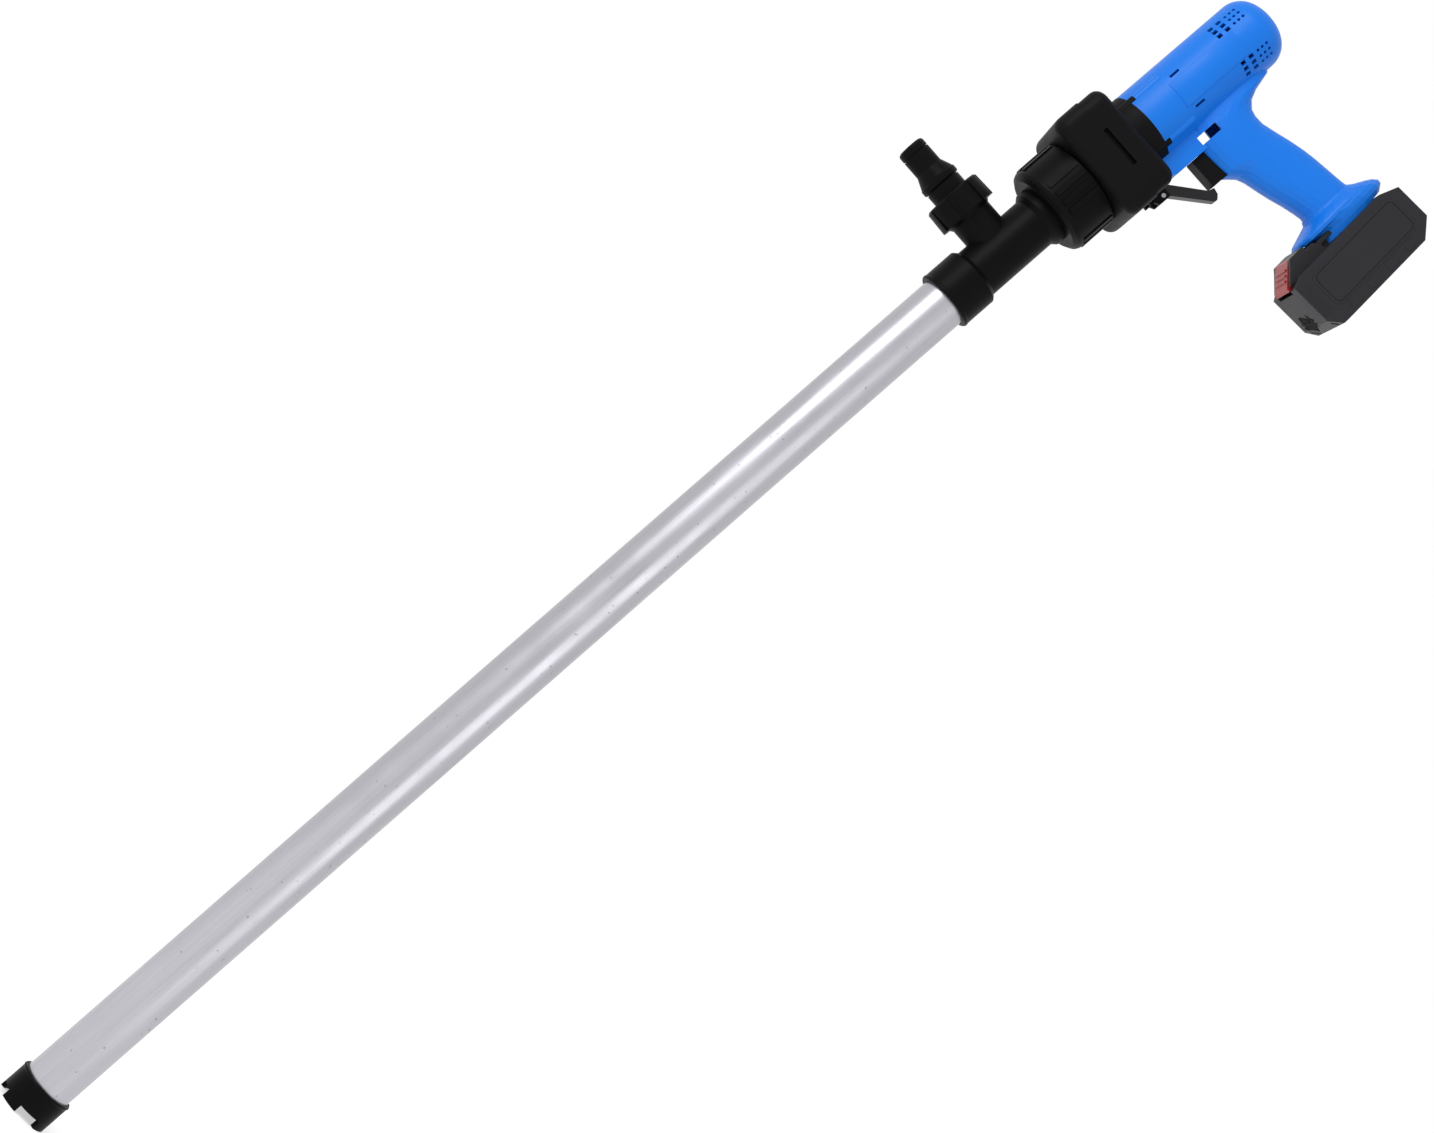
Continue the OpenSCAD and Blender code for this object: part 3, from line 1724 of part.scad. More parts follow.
battery_screws();
battery_cells();
cell_holder();
release_button();
release_spring();
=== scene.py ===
# %% [markdown]
# # A cordless drum pump
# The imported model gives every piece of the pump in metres: Z runs up the pump axis from the suction
# inlet to the motor, +X points to the handle and battery, -X to the hose nipple, and the photograph
# looks along +Y. This file adds the camera, the studio, the surface finishes and the small moulded
# details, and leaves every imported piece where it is.

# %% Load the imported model
import math

import bmesh
import bpy
from mathutils import Matrix, Vector


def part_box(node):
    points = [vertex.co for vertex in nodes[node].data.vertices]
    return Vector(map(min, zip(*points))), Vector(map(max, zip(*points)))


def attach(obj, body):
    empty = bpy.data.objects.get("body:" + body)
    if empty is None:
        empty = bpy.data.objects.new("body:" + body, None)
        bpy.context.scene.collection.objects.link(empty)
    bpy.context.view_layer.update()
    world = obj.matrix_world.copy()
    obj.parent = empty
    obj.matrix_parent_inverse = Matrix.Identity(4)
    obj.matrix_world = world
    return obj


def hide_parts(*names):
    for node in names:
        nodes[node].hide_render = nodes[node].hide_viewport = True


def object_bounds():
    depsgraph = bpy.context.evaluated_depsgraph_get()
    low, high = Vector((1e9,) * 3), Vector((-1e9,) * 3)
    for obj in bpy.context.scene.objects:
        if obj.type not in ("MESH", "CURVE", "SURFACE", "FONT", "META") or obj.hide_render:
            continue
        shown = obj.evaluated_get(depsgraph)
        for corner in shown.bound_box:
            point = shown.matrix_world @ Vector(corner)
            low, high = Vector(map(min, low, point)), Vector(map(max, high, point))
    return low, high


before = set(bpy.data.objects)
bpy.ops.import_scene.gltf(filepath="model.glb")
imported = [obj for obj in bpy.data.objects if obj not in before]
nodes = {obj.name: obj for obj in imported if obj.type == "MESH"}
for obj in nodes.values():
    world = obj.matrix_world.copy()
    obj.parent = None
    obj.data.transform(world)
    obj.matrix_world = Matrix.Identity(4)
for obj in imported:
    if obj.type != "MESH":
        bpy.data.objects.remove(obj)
cad_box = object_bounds()
scene = bpy.context.scene
MM = 0.001
print("pieces:", len(nodes))

# %% [markdown]
# ## Camera
# The picture was taken with a long lens from about two metres, level with the middle of the tube, and
# the camera was rolled so that the pump lies across the frame. The tool end is a little farther away
# than the foot, so the view is tipped about five degrees along the axis. The lens is given by its
# focal length in pixels of the 1434 x 1133 picture, which Blender turns into millimetres of sensor.

# %% Camera at the photograph's viewing angle
IMAGE_W = 1434
FOCAL_PX = 2600
SENSOR_MM = 36
CAMERA_PLACE = (0.0387, -2.002, 0.4686)
CLIP_END = 100
TILT = math.radians(5.35)
ROLL_AXIS = Vector((0.75183443, -0.65935389))
ROLL_SIDE = Vector((0.65935389, 0.75183443))

forward = Vector((0, math.cos(TILT), math.sin(TILT)))
along_pump = Vector((0, -math.sin(TILT), math.cos(TILT)))
across_pump = Vector((1, 0, 0))
right = ROLL_AXIS.x * along_pump + ROLL_SIDE.x * across_pump
up = -(ROLL_AXIS.y * along_pump + ROLL_SIDE.y * across_pump)

camera_data = bpy.data.cameras.new("camera")
camera_data.sensor_width = SENSOR_MM
camera_data.lens = FOCAL_PX / IMAGE_W * SENSOR_MM
camera_data.clip_end = CLIP_END
camera = bpy.data.objects.new("camera", camera_data)
scene.collection.objects.link(camera)
turn = Matrix((right, up, -forward)).transposed().to_4x4()
camera.matrix_world = Matrix.Translation(CAMERA_PLACE) @ turn
scene.camera = camera
print("lens:", round(camera_data.lens, 1), "mm")

# %% [markdown]
# ## Studio
# The pump was photographed as a cut-out on white, so the floor and the world show white to the camera
# and in reflections, while the light that falls on the pump stays at a plain level. One large soft
# lamp stands to the upper left of the picture, one weaker lamp fills from the right, and the world
# gives the rest.

# %% Floor
FLOOR_SIZE = 12
FLOOR_GAP = 0.2 * MM

bpy.ops.object.select_all(action="DESELECT")
bpy.ops.mesh.primitive_plane_add(size=FLOOR_SIZE, location=(0, 0, cad_box[0][2] - FLOOR_GAP))
floor = bpy.context.object
floor.name = "floor"
print("floor at", round(floor.location.z / MM, 1), "mm")


# %% Helpers for every material
def linear(hex_colour):
    """An sRGB hex colour as the linear RGBA that shader sockets take."""
    parts = [int(hex_colour[i:i + 2], 16) / 255 for i in (1, 3, 5)]
    return tuple(c / 12.92 if c <= 0.04045 else ((c + 0.055) / 1.055) ** 2.4 for c in parts) + (1,)


def add(tree, kind, settings=None, links=None):
    """Adds a shader node, sets its properties or inputs, and links sockets into its inputs."""
    made = tree.nodes.new(kind)
    for name, value in (settings or {}).items():
        if isinstance(name, int) or name in made.inputs:
            made.inputs[name].default_value = value
        else:
            setattr(made, name, value)
    for name, socket in (links or {}).items():
        tree.links.new(socket, made.inputs[name])
    return made


def empty_material(name):
    """A material with an output node and nothing else."""
    material = bpy.data.materials.new(name)
    material.use_nodes = True
    material.node_tree.nodes.clear()
    return material, material.node_tree


def seen_directly(tree):
    """A socket that is 1 for rays from the camera, from a reflection or through glass, and else 0."""
    path = add(tree, "ShaderNodeLightPath")
    seen = add(tree, "ShaderNodeMath", {"operation": "MAXIMUM"},
               {0: path.outputs["Is Camera Ray"], 1: path.outputs["Is Glossy Ray"]})
    seen = add(tree, "ShaderNodeMath", {"operation": "MAXIMUM"},
               {0: seen.outputs[0], 1: path.outputs["Is Transmission Ray"]})
    return seen.outputs[0]


# %% Paper of the floor, which glows white where it is seen and still takes the shadow
GLOW_SHARE = 0.5

floor_material, tree = empty_material("floor_paper")
paper = add(tree, "ShaderNodeBsdfDiffuse", {"Color": linear("#f4f4f4")})
glow = add(tree, "ShaderNodeEmission", {"Color": (1, 1, 1, 1)}, {"Strength": seen_directly(tree)})
both = add(tree, "ShaderNodeAddShader", None, {0: paper.outputs[0], 1: glow.outputs[0]})
share = add(tree, "ShaderNodeMixShader", {"Fac": GLOW_SHARE}, {1: paper.outputs[0], 2: both.outputs[0]})
add(tree, "ShaderNodeOutputMaterial", None, {"Surface": share.outputs[0]})
floor.data.materials.append(floor_material)
print("floor paper:", len(tree.nodes), "nodes")

# %% World, plain where it lights the pump and white where it is seen
AMBIENT = 0.55
SEEN_WHITE = 1.0

world = bpy.data.worlds.new("studio")
scene.world = world
world.use_nodes = True
tree = world.node_tree
tree.nodes.clear()
strength = add(tree, "ShaderNodeMix", {"data_type": "FLOAT", "A": AMBIENT, "B": SEEN_WHITE},
               {"Factor": seen_directly(tree)})
background = add(tree, "ShaderNodeBackground", {"Color": (1, 1, 1, 1)},
                 {"Strength": strength.outputs["Result"]})
add(tree, "ShaderNodeOutputWorld", None, {"Surface": background.outputs[0]})
scene.view_settings.view_transform = "Standard"
print("view:", scene.view_settings.view_transform)


# %% Lamps
def soft_lamp(name, place, aim, size, power):
    """A square area lamp at place that faces aim."""
    data = bpy.data.lights.new(name, "AREA")
    data.size = size
    data.energy = power
    lamp = bpy.data.objects.new(name, data)
    scene.collection.objects.link(lamp)
    lamp.matrix_world = (
        Matrix.Translation(place)
        @ (Vector(aim) - Vector(place)).to_track_quat("-Z", "Y").to_matrix().to_4x4()
    )
    return lamp


MIDDLE = (0, 0, 0.7)
lamps = (
    soft_lamp("key_lamp", (-1.5, -1.6, 1.7), MIDDLE, 1.2, 26),
    soft_lamp("fill_lamp", (1.6, -1.4, 0.4), MIDDLE, 1.5, 9),
)
print("lamps:", [(lamp.name, lamp.data.energy) for lamp in lamps])

# %% [markdown]
# ## Finishes
# Every material starts from what the real piece is made of. Moulded plastics get the fine spark
# texture that the mould leaves, a slightly uneven gloss and a faint drift of colour. The black pipe
# parts and housings reflect very little, so their specular level is low. The two blue half shells
# also show the parting line where they meet. The bare tube gets the draw lines, the cloudy oxide and
# the small dark specks of mill-finish aluminium.

# %% Sockets of the colour Mix node, which has one set of inputs for each kind of data
MIX_DARK = 6
MIX_LIGHT = 7
MIX_COLOUR = 2


def shade(colour, share):
    """A linear colour made darker or lighter by a share."""
    return tuple(c * share for c in linear(colour)[:3]) + (1,)


# %% Moulded plastic
# The parting line is drawn a little wider than the real one, so that it shows in the render
SEAM_HALF_MM = 0.18


def moulded(name, colour, roughness, specular, grain_mm, grain_depth, mottling=0.06, seam=False):
    """A moulded plastic: spark-eroded grain, uneven gloss, faint colour drift and perhaps a seam."""
    material, tree = empty_material(name)
    place = add(tree, "ShaderNodeTexCoord").outputs["Object"]
    drift = add(tree, "ShaderNodeTexNoise", {"Scale": 28, "Detail": 3}, {"Vector": place})
    tone = add(tree, "ShaderNodeMix", {
        "data_type": "RGBA",
        MIX_DARK: shade(colour, 1 - mottling),
        MIX_LIGHT: shade(colour, 1 + mottling),
    }, {0: drift.outputs["Fac"]})
    if seam:
        across = add(tree, "ShaderNodeSeparateXYZ", None, {0: place})
        off = add(tree, "ShaderNodeMath", {"operation": "ABSOLUTE"}, {0: across.outputs["Y"]})
        line = add(tree, "ShaderNodeMapRange", {
            "From Min": SEAM_HALF_MM * MM, "From Max": 2 * SEAM_HALF_MM * MM, "To Min": 1, "To Max": 0,
        }, {"Value": off.outputs[0]})
        tone = add(tree, "ShaderNodeMix", {"data_type": "RGBA", MIX_LIGHT: shade(colour, 0.3)},
                   {0: line.outputs["Result"], MIX_DARK: tone.outputs[MIX_COLOUR]})
    gloss = add(tree, "ShaderNodeMapRange", {
        "From Min": 0.3, "From Max": 0.7, "To Min": roughness - 0.04, "To Max": roughness + 0.05,
    }, {"Value": drift.outputs["Fac"]})
    grain = add(tree, "ShaderNodeTexVoronoi", {"Scale": 1 / (grain_mm * MM)}, {"Vector": place})
    bump = add(tree, "ShaderNodeBump", {"Strength": 0.35, "Distance": grain_depth * MM},
               {"Height": grain.outputs["Distance"]})
    shader = add(tree, "ShaderNodeBsdfPrincipled", {"IOR": 1.5, "Specular IOR Level": specular}, {
        "Base Color": tone.outputs[MIX_COLOUR],
        "Roughness": gloss.outputs["Result"], "Normal": bump.outputs["Normal"],
    })
    add(tree, "ShaderNodeOutputMaterial", None, {"Surface": shader.outputs[0]})
    return material


# %% Plastics and rubbers
# Glass-filled nylon, injection moulded: strong colour, satin, even highlights
blue_nylon = moulded("blue_nylon_moulded", "#127ae8", 0.42, 0.24, 0.5, 0.02, seam=True)
# Glass-filled nylon, black: nearly matt, so the housings look deep black
black_nylon = moulded("black_glass_filled_nylon_moulded", "#0a0a0c", 0.5, 0.08, 0.6, 0.03, 0.15)
# The lock lever is a smoother moulding that reads as dark grey
lever_nylon = moulded("black_acetal_moulded", "#1a1a1d", 0.38, 0.22, 0.6, 0.02, 0.1)
# Polypropylene pipe fittings: black, satin, a softer and wider grain
black_pipe = moulded("black_polypropylene_moulded", "#09090b", 0.42, 0.06, 0.9, 0.02, 0.12)
# The battery case is a lighter charcoal blend with a fine grain
black_case = moulded("charcoal_abs_moulded", "#28282c", 0.46, 0.18, 0.5, 0.03, 0.08)
# A darker copy of the charcoal case: painted shade on the window in the front of the battery, as if the
# window lay in a recess
recess_shade_case = moulded("charcoal_abs_painted_recess_shade", "#141416", 0.55, 0.12, 0.5, 0.03, 0.08)
# ABS, coloured through, with a gloss that gives the button its pale highlight
red_abs = moulded("red_abs_moulded", "#a3191a", 0.36, 0.35, 0.5, 0.02)
# Acetal bushes, turned: off-white and waxy
white_acetal = moulded("white_acetal_turned", "#e4e2da", 0.35, 0.5, 0.8, 0.01)
# Nitrile rubber: dull black
seal_rubber = moulded("nitrile_rubber_moulded", "#0e0e0f", 0.7, 0.2, 0.7, 0.02, 0.1)
# Cast polyurethane: the red elastic star of the shaft coupling
spider_rubber = moulded("red_polyurethane_cast", "#b02a20", 0.5, 0.4, 0.8, 0.02)
# Shrink film on the cells: smooth and glossy
cell_film = moulded("green_shrink_film", "#2f8f62", 0.3, 0.5, 2.0, 0.01)


# %% Drawn aluminium and plated steel
def metal(name, colour, roughness, stretch, streak_mm, depth, speck_mm=0):
    """A metal with fine lines drawn along Z, a cloudy oxide film and perhaps small dark specks."""
    material, tree = empty_material(name)
    place = add(tree, "ShaderNodeTexCoord").outputs["Object"]
    lines = add(tree, "ShaderNodeMapping", {"Scale": (1, 1, 1 / stretch)}, {"Vector": place})
    streak = add(tree, "ShaderNodeTexNoise", {"Scale": 1 / (streak_mm * MM), "Detail": 4},
                 {"Vector": lines.outputs[0]})
    cloud = add(tree, "ShaderNodeTexNoise", {"Scale": 22, "Detail": 5}, {"Vector": place})
    rough = add(tree, "ShaderNodeMapRange", {
        "From Min": 0.3, "From Max": 0.7, "To Min": roughness - 0.06, "To Max": roughness + 0.1,
    }, {"Value": cloud.outputs["Fac"]})
    bump = add(tree, "ShaderNodeBump", {"Strength": 0.5, "Distance": depth * MM},
               {"Height": streak.outputs["Fac"]})
    tone = add(tree, "ShaderNodeMix", {
        "data_type": "RGBA", MIX_DARK: shade(colour, 0.86), MIX_LIGHT: shade(colour, 1.1),
    }, {0: streak.outputs["Fac"]})
    if speck_mm:
        specks = add(tree, "ShaderNodeTexNoise", {"Scale": 1 / (speck_mm * MM), "Detail": 0},
                     {"Vector": place})
        spots = add(tree, "ShaderNodeMapRange", {"From Min": 0.8, "From Max": 0.84},
                    {"Value": specks.outputs["Fac"]})
        tone = add(tree, "ShaderNodeMix", {"data_type": "RGBA", MIX_LIGHT: shade(colour, 0.6)},
                   {0: spots.outputs["Result"], MIX_DARK: tone.outputs[MIX_COLOUR]})
    shader = add(tree, "ShaderNodeBsdfPrincipled", {"Metallic": 1.0}, {
        "Base Color": tone.outputs[MIX_COLOUR],
        "Roughness": rough.outputs["Result"], "Normal": bump.outputs["Normal"],
    })
    add(tree, "ShaderNodeOutputMaterial", None, {"Surface": shader.outputs[0]})
    return material


# %% Metals
# Drawn aluminium, bare: lilac-grey with long draw lines and specks of oxide
tube_aluminium = metal("aluminium_drawn", "#b2b1b7", 0.32, 60, 1.2, 0.02, 3)
# Turned aluminium: fine rings round the axis
turned_aluminium = metal("aluminium_turned", "#c8c9cc", 0.3, 0.2, 0.8, 0.01)
# Zinc-plated steel: cool grey and fairly bright
plated_steel = metal("steel_zinc_plated", "#9b9da1", 0.32, 1, 0.8, 0.01)
# Rotor: steel laminations with copper windings, seen only through the vents
copper_rotor = metal("steel_laminations_and_copper", "#8a5a3c", 0.4, 0.3, 1.0, 0.03)

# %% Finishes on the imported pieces
FINISHES = {
    tube_aluminium: ["outer_tube"],
    black_pipe: ["foot_cap", "tee_body", "hose_nipple", "outlet_nut", "union_nut", "impeller",
                 "lower_bearing_carrier", "seal_carrier"],
    black_nylon: ["coupling_housing_front", "coupling_housing_rear", "nose_housing", "trigger",
                  "motor_end_cap", "cooling_fan", "switch_body", "terminal_block"],
    lever_nylon: ["trigger_lock_lever"],
    blue_nylon: ["housing_near", "housing_far"],
    black_case: ["battery_case_upper", "battery_case_lower"],
    red_abs: ["release_button"],
    white_acetal: ["lower_bush", "guide_bush_1", "guide_bush_2", "guide_bush_3", "cell_holder"],
    seal_rubber: ["tube_o_ring", "shaft_seal", "outlet_gasket", "union_gasket"],
    spider_rubber: ["coupling_spider"],
    cell_film: ["battery_cells"],
    turned_aluminium: ["coupling_lower", "coupling_upper"],
    plated_steel: ["impeller_nut", "shaft_guard_tube", "drive_shaft", "upper_bearing",
                   "coupling_housing_screws", "output_spindle", "spindle_bearing", "lever_pin",
                   "nose_screws", "housing_screws", "motor_can", "trigger_spring", "battery_screws",
                   "release_spring"],
    copper_rotor: ["motor_rotor"],
}
for material, names in FINISHES.items():
    for name in names:
        nodes[name].data.materials.clear()
        nodes[name].data.materials.append(material)
print("finished:", sum(len(names) for names in FINISHES.values()), "of", len(nodes))

# %% [markdown]
# ## Moulded relief on the battery
# The flat sides of the case carry a raised panel inside a rim and a groove, and a row of small pads
# below it. They are part of the moulding and too thin to matter to the solids. Each one starts as a
# plane whose corners are rounded, is extruded to its thickness and gets its rim and groove by insets.


# %% Small tools for modelling
def select_parts(parts, test):
    """In edit mode, selects only the faces or vertices that pass a test."""
    bpy.ops.mesh.select_all(action="DESELECT")
    mesh = bmesh.from_edit_mesh(bpy.context.edit_object.data)
    for part in getattr(mesh, parts):
        if test(part):
            part.select_set(True)
    mesh.select_flush(True)
    bmesh.update_edit_mesh(bpy.context.edit_object.data)


def finish_piece(piece, body, material):
    """Gives a piece its finish and the body that it rides on."""
    piece.data.materials.clear()
    piece.data.materials.append(material)
    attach(piece, body)
    print(piece.name, len(piece.data.polygons), "faces")


def copy_to(piece, name, place):
    """A copy with its own mesh, whose place is in that mesh."""
    bpy.ops.object.select_all(action="DESELECT")
    twin = bpy.data.objects.new(name, piece.data.copy())
    twin.data.name = name
    scene.collection.objects.link(twin)
    twin.select_set(True)
    bpy.context.view_layer.objects.active = twin
    twin.matrix_world = place
    bpy.ops.object.transform_apply(location=True, rotation=True, scale=True)
    return twin


def joined(name, pieces):
    """Several copies made one piece."""
    bpy.ops.object.select_all(action="DESELECT")
    for piece in pieces:
        piece.select_set(True)
    bpy.context.view_layer.objects.active = pieces[0]
    bpy.ops.object.join()
    pieces[0].name = pieces[0].data.name = name
    return pieces[0]


# %% A thin moulded plate
SUNK = 0.3


def moulded_plate(name, wide, long, corner, proud, edge, rim=0, groove=0):
    """A plate on its back, with round corners, a soft edge and perhaps a groove inside its rim."""
    bpy.ops.object.select_all(action="DESELECT")
    bpy.ops.mesh.primitive_plane_add(size=MM, location=(0, 0, -SUNK * MM))
    plate = bpy.context.object
    plate.name = plate.data.name = name
    plate.scale = (wide, long, 1)
    bpy.ops.object.transform_apply(location=True, rotation=True, scale=True)
    bpy.ops.object.mode_set(mode="EDIT")
    bpy.ops.mesh.select_all(action="SELECT")
    bpy.ops.mesh.bevel(offset=corner * MM, segments=6, affect="VERTICES")
    bpy.ops.mesh.select_all(action="SELECT")
    bpy.ops.mesh.extrude_region_move(
        TRANSFORM_OT_translate={"value": (0, 0, (SUNK + proud - edge) * MM)})
    bpy.ops.mesh.inset(thickness=edge * MM, depth=edge * MM)
    if groove:
        bpy.ops.mesh.inset(thickness=rim * MM, depth=0)
        bpy.ops.mesh.inset(thickness=groove / 2 * MM, depth=-groove * MM)
        bpy.ops.mesh.inset(thickness=groove * MM, depth=0)
        bpy.ops.mesh.inset(thickness=groove / 2 * MM, depth=groove * MM)
    bpy.ops.mesh.select_all(action="SELECT")
    bpy.ops.mesh.normals_make_consistent(inside=False)
    bpy.ops.object.mode_set(mode="OBJECT")
    return plate


# %% The frame of the battery, whose X runs down from the foot and whose Z runs to the rear
FOOT_TILT = math.radians(-4)
FOOT_PLACE = Matrix.Translation((163 * MM, 0, 1213.01 * MM)) @ Matrix.Rotation(FOOT_TILT, 4, "Y")
BATTERY_HALF = 36
BATTERY_FRONT = -77


def on_side(side, down, back):
    """Place on a flat side of the battery; side is -1 for the near side and 1 for the far side."""
    turn = Matrix(((1, 0, 0), (0, 0, side), (0, -side, 0))).to_4x4()
    return FOOT_PLACE @ Matrix.Translation(
        (down * MM, side * BATTERY_HALF * MM, back * MM)) @ turn


# %% Side panels with their rim and groove
SIDES = ((-1, "near"), (1, "far"))
CASE_PANEL = {"wide": 33, "long": 92, "corner": 7, "proud": 0.55, "edge": 0.35, "rim": 1.6, "groove": 0.5}
CASE_PANEL_DOWN = 22.6
CASE_PANEL_BACK = -18.6

pattern = moulded_plate("battery_side_panel", **CASE_PANEL)
for side, word in SIDES:
    panel = copy_to(pattern, "battery_panel_" + word, on_side(side, CASE_PANEL_DOWN, CASE_PANEL_BACK))
    finish_piece(panel, "battery", black_case)
bpy.data.objects.remove(pattern)

# %% Pads under the panels
PAD = {"wide": 6.6, "long": 11, "corner": 1, "proud": 0.5, "edge": 0.35}
PAD_DOWN = 44.4
PAD_MIDDLES = (-51, -30, -9, 12.4)

pattern = moulded_plate("battery_side_pad", **PAD)
for side, word in SIDES:
    pads = joined("battery_pads_" + word, [
        copy_to(pattern, "pad", on_side(side, PAD_DOWN, back)) for back in PAD_MIDDLES])
    finish_piece(pads, "battery", black_case)
bpy.data.objects.remove(pattern)

# %% Upright grip ribs on the bevelled front corners
BEVEL_BACK = 11.34
BEVEL_IN = 6.3
RIB = {"wide": 30, "long": 1.6, "corner": 0.7, "proud": 0.45, "edge": 0.3}
RIB_DOWN = 23
RIB_SHARES = (0.2, 0.5, 0.8)

pattern = moulded_plate("battery_corner_rib", **RIB)
for side, word in SIDES:
    outward = Vector((0, side * BEVEL_BACK, -BEVEL_IN)) / math.hypot(BEVEL_BACK, BEVEL_IN)
    down = Vector((1, 0, 0))
    turn = Matrix((down, outward.cross(down), outward)).transposed().to_4x4()
    ribs = joined("battery_corner_ribs_" + word, [
        copy_to(pattern, "rib", FOOT_PLACE @ Matrix.Translation((
            RIB_DOWN * MM, side * (BATTERY_HALF - BEVEL_IN * (1 - share)) * MM,
            (BATTERY_FRONT + BEVEL_BACK * share) * MM)) @ turn)
        for share in RIB_SHARES])
    finish_piece(ribs, "battery", black_case)
bpy.data.objects.remove(pattern)

# %% Small square window in the front of the battery
WINDOW = {"wide": 8.4, "long": 22, "corner": 0.8, "proud": 0.5, "edge": 0.3, "rim": 0.7, "groove": 0.4}
WINDOW_DOWN = 36
WINDOW_ASIDE = 7
facing_front = Matrix(((1, 0, 0), (0, -1, 0), (0, 0, -1))).to_4x4()

pattern = moulded_plate("battery_front_window", **WINDOW)
window = copy_to(pattern, "battery_window", FOOT_PLACE @ Matrix.Translation(
    (WINDOW_DOWN * MM, WINDOW_ASIDE * MM, BATTERY_FRONT * MM)) @ facing_front)
# The window takes the darker copy of the case colour, which is painted shade
finish_piece(window, "battery", recess_shade_case)
bpy.data.objects.remove(pattern)

# %% [markdown]
# ## Flat panel on each side of the motor housing
# The real shells carry a slightly raised plain panel on each side. Its section is drawn once, as a
# plane whose rear edge is moved in to follow the taper of the housing, and is spun about the axis.

# %% Side panels of the motor housing
SMOOTH_BELOW = math.radians(35)
PANEL_Z0 = 1168.6
PANEL_Z1 = 1235.2
FRONT_R = 31.13
REAR_R = 30.55
PANEL_PROUD = 0.45
PANEL_ARC = math.radians(44)
PANEL_STEPS = 20
SOFT_EDGE = 0.3


def barrel_panel(name, toward):
    """A thin panel on the motor housing, centred on an angle about the pump axis."""
    bpy.ops.object.select_all(action="DESELECT")
    bpy.ops.mesh.primitive_plane_add(
        size=MM, rotation=(math.radians(90), 0, 0),
        location=((FRONT_R + (PANEL_PROUD - SUNK) / 2) * MM, 0, (PANEL_Z0 + PANEL_Z1) / 2 * MM))
    panel = bpy.context.object
    panel.name = panel.data.name = name
    panel.scale = (PANEL_PROUD + SUNK, PANEL_Z1 - PANEL_Z0, 1)
    bpy.ops.object.transform_apply(location=True, rotation=True, scale=True)
    bpy.ops.object.mode_set(mode="EDIT")
    select_parts("verts", lambda v: v.co.z > (PANEL_Z1 - 1) * MM)
    bpy.ops.transform.translate(value=((REAR_R - FRONT_R) * MM, 0, 0))
    bpy.ops.mesh.select_all(action="SELECT")
    bpy.ops.mesh.spin(steps=PANEL_STEPS, angle=PANEL_ARC, center=(0, 0, 0), axis=(0, 0, 1))
    bpy.ops.mesh.select_all(action="SELECT")
    bpy.ops.mesh.remove_doubles(threshold=0.001 * MM)
    bpy.ops.mesh.normals_make_consistent(inside=False)
    bpy.ops.object.mode_set(mode="OBJECT")
    middle = sum((v.co for v in panel.data.vertices), Vector()) / len(panel.data.vertices)
    turn = toward - math.atan2(middle.y, middle.x)
    placed = copy_to(panel, name, Matrix.Rotation(turn, 4, "Z"))
    bpy.data.objects.remove(panel)
    placed.name = placed.data.name = name
    soften = placed.modifiers.new("soft_edge", "BEVEL")
    soften.width = SOFT_EDGE * MM
    soften.segments = 2
    soften.limit_method = "ANGLE"
    bpy.ops.object.modifier_apply(modifier="soft_edge")
    bpy.ops.object.shade_smooth_by_angle(angle=SMOOTH_BELOW)
    return placed


for word, toward in (("near", -90), ("far", 90)):
    finish_piece(barrel_panel("barrel_panel_" + word, math.radians(toward)),
                 "pump", blue_nylon)

# %% [markdown]
# ## Screws
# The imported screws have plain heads. Real ones are pan heads with a six-lobed recess, which shows
# wherever a head faces the viewer. One screw is modelled from a cylinder: the top is inset twice, every
# fourth corner of the inner ring is pulled in to make the lobes, and the recess is pushed down.


# %% One screw
RIM_SHARE = 0.14
RING_SHARE = 0.3
LOBE_SHARE = 0.74
RECESS_SHARE = 0.45


def lobed_screw(name, head_r, head_h, shank_r, length):
    """A screw along Z with the top of its head at zero."""
    rim = RIM_SHARE * head_r
    bpy.ops.object.select_all(action="DESELECT")
    bpy.ops.mesh.primitive_cylinder_add(
        vertices=24, radius=head_r * MM, depth=(head_h - rim) * MM,
        location=(0, 0, -(head_h + rim) / 2 * MM))
    screw = bpy.context.object
    screw.name = screw.data.name = name
    bpy.ops.object.transform_apply(location=True, rotation=True, scale=True)
    bpy.ops.object.mode_set(mode="EDIT")
    select_parts("faces", lambda f: f.normal.z < -0.9)
    bpy.ops.mesh.inset(thickness=(head_r - shank_r) * MM, depth=0)
    bpy.ops.mesh.extrude_region_move(TRANSFORM_OT_translate={"value": (0, 0, -length * MM)})
    select_parts("faces", lambda f: f.normal.z > 0.9)
    bpy.ops.mesh.inset(thickness=rim * MM, depth=rim * MM)
    bpy.ops.mesh.inset(thickness=RING_SHARE * head_r * MM, depth=0)
    lobe_r = head_r - rim - RING_SHARE * head_r
    select_parts("verts", lambda v: abs(v.co.z) < 0.01 * MM
                 and abs(v.co.xy.length - lobe_r * MM) < 0.15 * MM
                 and math.cos(6 * math.atan2(v.co.y, v.co.x)) < -0.5)
    bpy.ops.transform.resize(value=(LOBE_SHARE, LOBE_SHARE, 1), center_override=(0, 0, 0))
    select_parts("faces", lambda f: f.normal.z > 0.9 and len(f.verts) > 8)
    bpy.ops.mesh.extrude_region_move(
        TRANSFORM_OT_translate={"value": (0, 0, -RECESS_SHARE * head_h * MM)})
    bpy.ops.object.mode_set(mode="OBJECT")
    bpy.ops.object.shade_smooth_by_angle(angle=SMOOTH_BELOW)
    return screw


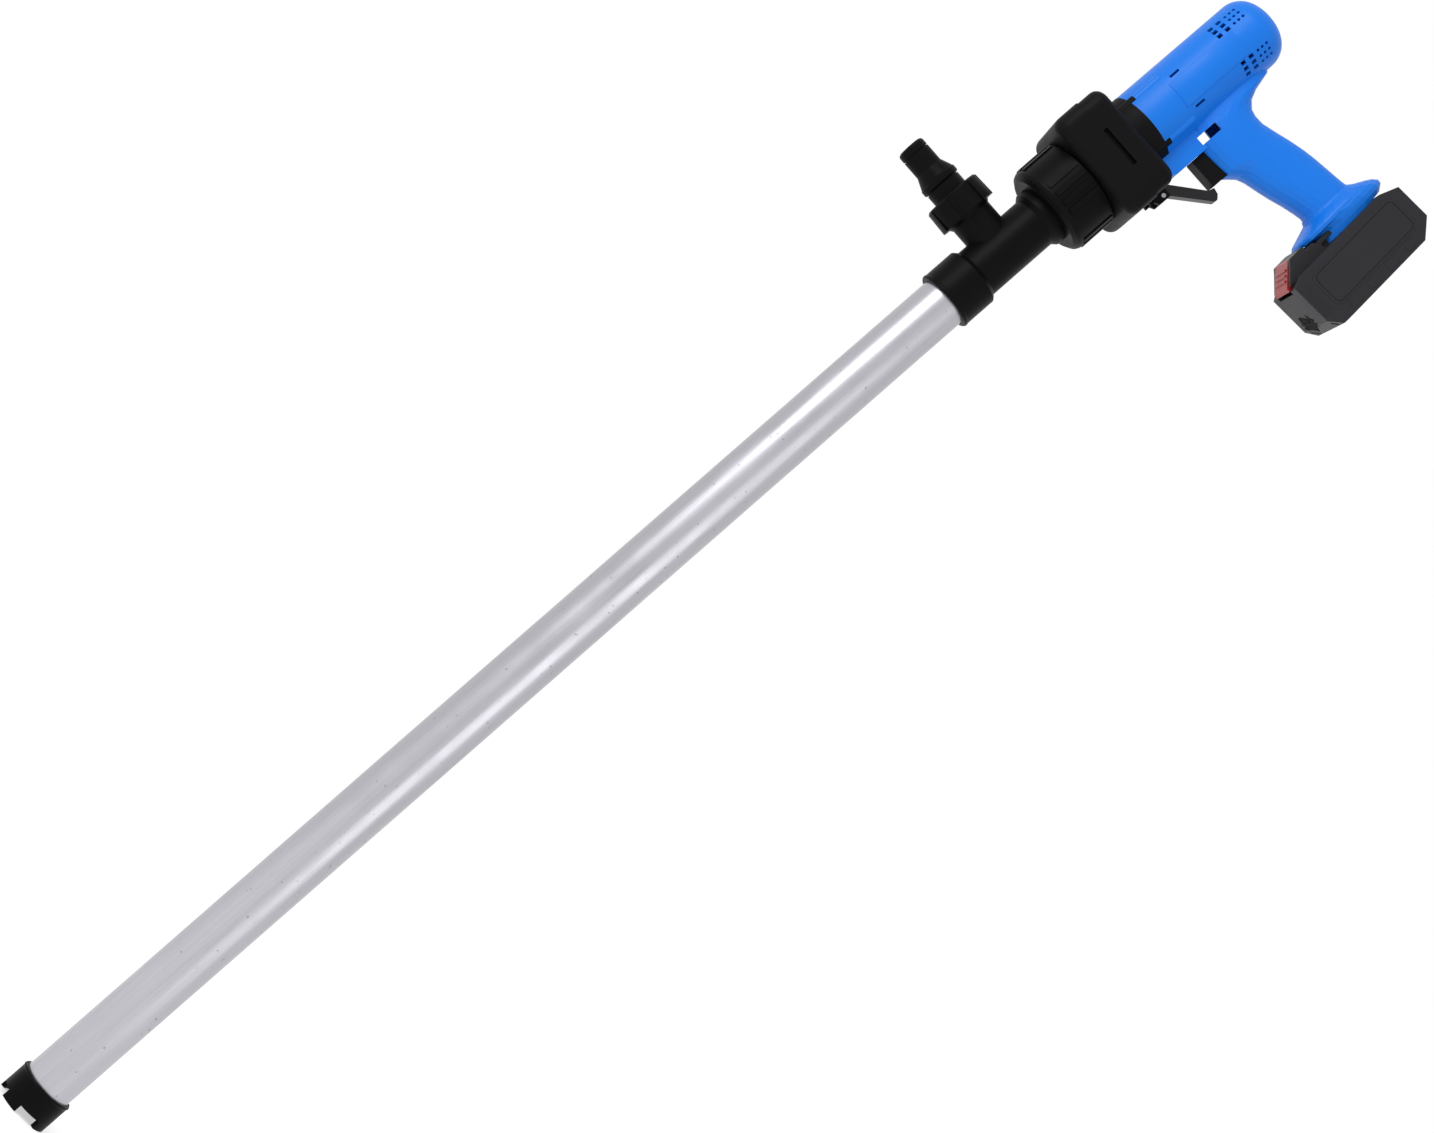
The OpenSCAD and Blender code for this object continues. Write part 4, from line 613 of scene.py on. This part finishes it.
# %% Four screws of the coupling housing
low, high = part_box("coupling_housing_screws")
HEAD_R = 3.7
HEAD_H = 3
SHANK_R = 2
reach = high[0] - HEAD_R * MM
screw = lobed_screw("coupling_screw", HEAD_R, HEAD_H, SHANK_R, (high[2] - low[2]) / MM - HEAD_H)
screws = joined("coupling_screw_set", [
    copy_to(screw, "screw", Matrix.Translation((x * reach, y * reach, high[2])))
    for x in (-1, 1) for y in (-1, 1)])
bpy.data.objects.remove(screw)
finish_piece(screws, "pump", plated_steel)
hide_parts("coupling_housing_screws")

# %% Five screws that clamp the blue shells, entered from the far side
SHELL_HEAD_R = 2.8
SHELL_HEAD_H = 2.1
SHELL_SHANK_R = 1.5
# X, Z and depth of the head's seat from the parting plane
SHELL_SCREWS = (
    (38.47, 1138.65, 8.0), (79.87, 1196.24, 12.2), (117.36, 1204.95, 11.8),
    (-19.07, 1256.04, 17.0), (19.07, 1256.04, 17.0),
)
made = []
for x, z, seat in SHELL_SCREWS:
    screw = lobed_screw("shell_screw", SHELL_HEAD_R, SHELL_HEAD_H, SHELL_SHANK_R, 2 * seat)
    made.append(copy_to(screw, "screw", Matrix.Translation(
        (x * MM, (seat + SHELL_HEAD_H) * MM, z * MM)) @ Matrix.Rotation(math.radians(-90), 4, "X")))
    bpy.data.objects.remove(screw)
shell_screws = joined("shell_screw_set", made)
finish_piece(shell_screws, "pump", plated_steel)
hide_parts("housing_screws")

# %% [markdown]
# ## Finger ridges on the release button
# Three round ridges across the sloping face let a thumb push the button down. Each is a cylinder with
# its ends rounded by a bevel, sunk to half its height.

# %% Ridges
# Distance below the battery's top and distance from the middle of the foot, of each ridge
RIDGES = ((-3, -72.6), (-6, -69.3), (-9, -66.1))
RIDGE_R = 0.8
RIDGE_LENGTH = 26
RIDGE_ROUND = 0.3

made = []
for down, back in RIDGES:
    bpy.ops.object.select_all(action="DESELECT")
    bpy.ops.mesh.primitive_cylinder_add(
        vertices=16, radius=RIDGE_R * MM, depth=RIDGE_LENGTH * MM, rotation=(math.radians(90), 0, 0))
    ridge = bpy.context.object
    bpy.ops.object.transform_apply(location=True, rotation=True, scale=True)
    bpy.ops.object.mode_set(mode="EDIT")
    select_parts("faces", lambda f: abs(f.normal.y) > 0.9)
    bpy.ops.mesh.inset(thickness=RIDGE_ROUND * MM, depth=RIDGE_ROUND * MM)
    bpy.ops.object.mode_set(mode="OBJECT")
    made.append(copy_to(ridge, "ridge", FOOT_PLACE @ Matrix.Translation((down * MM, 0, back * MM))))
    bpy.data.objects.remove(ridge)
ridges = joined("release_button_ridges", made)
bpy.ops.object.shade_smooth_by_angle(angle=math.radians(50))
finish_piece(ridges, "release_button", red_abs)
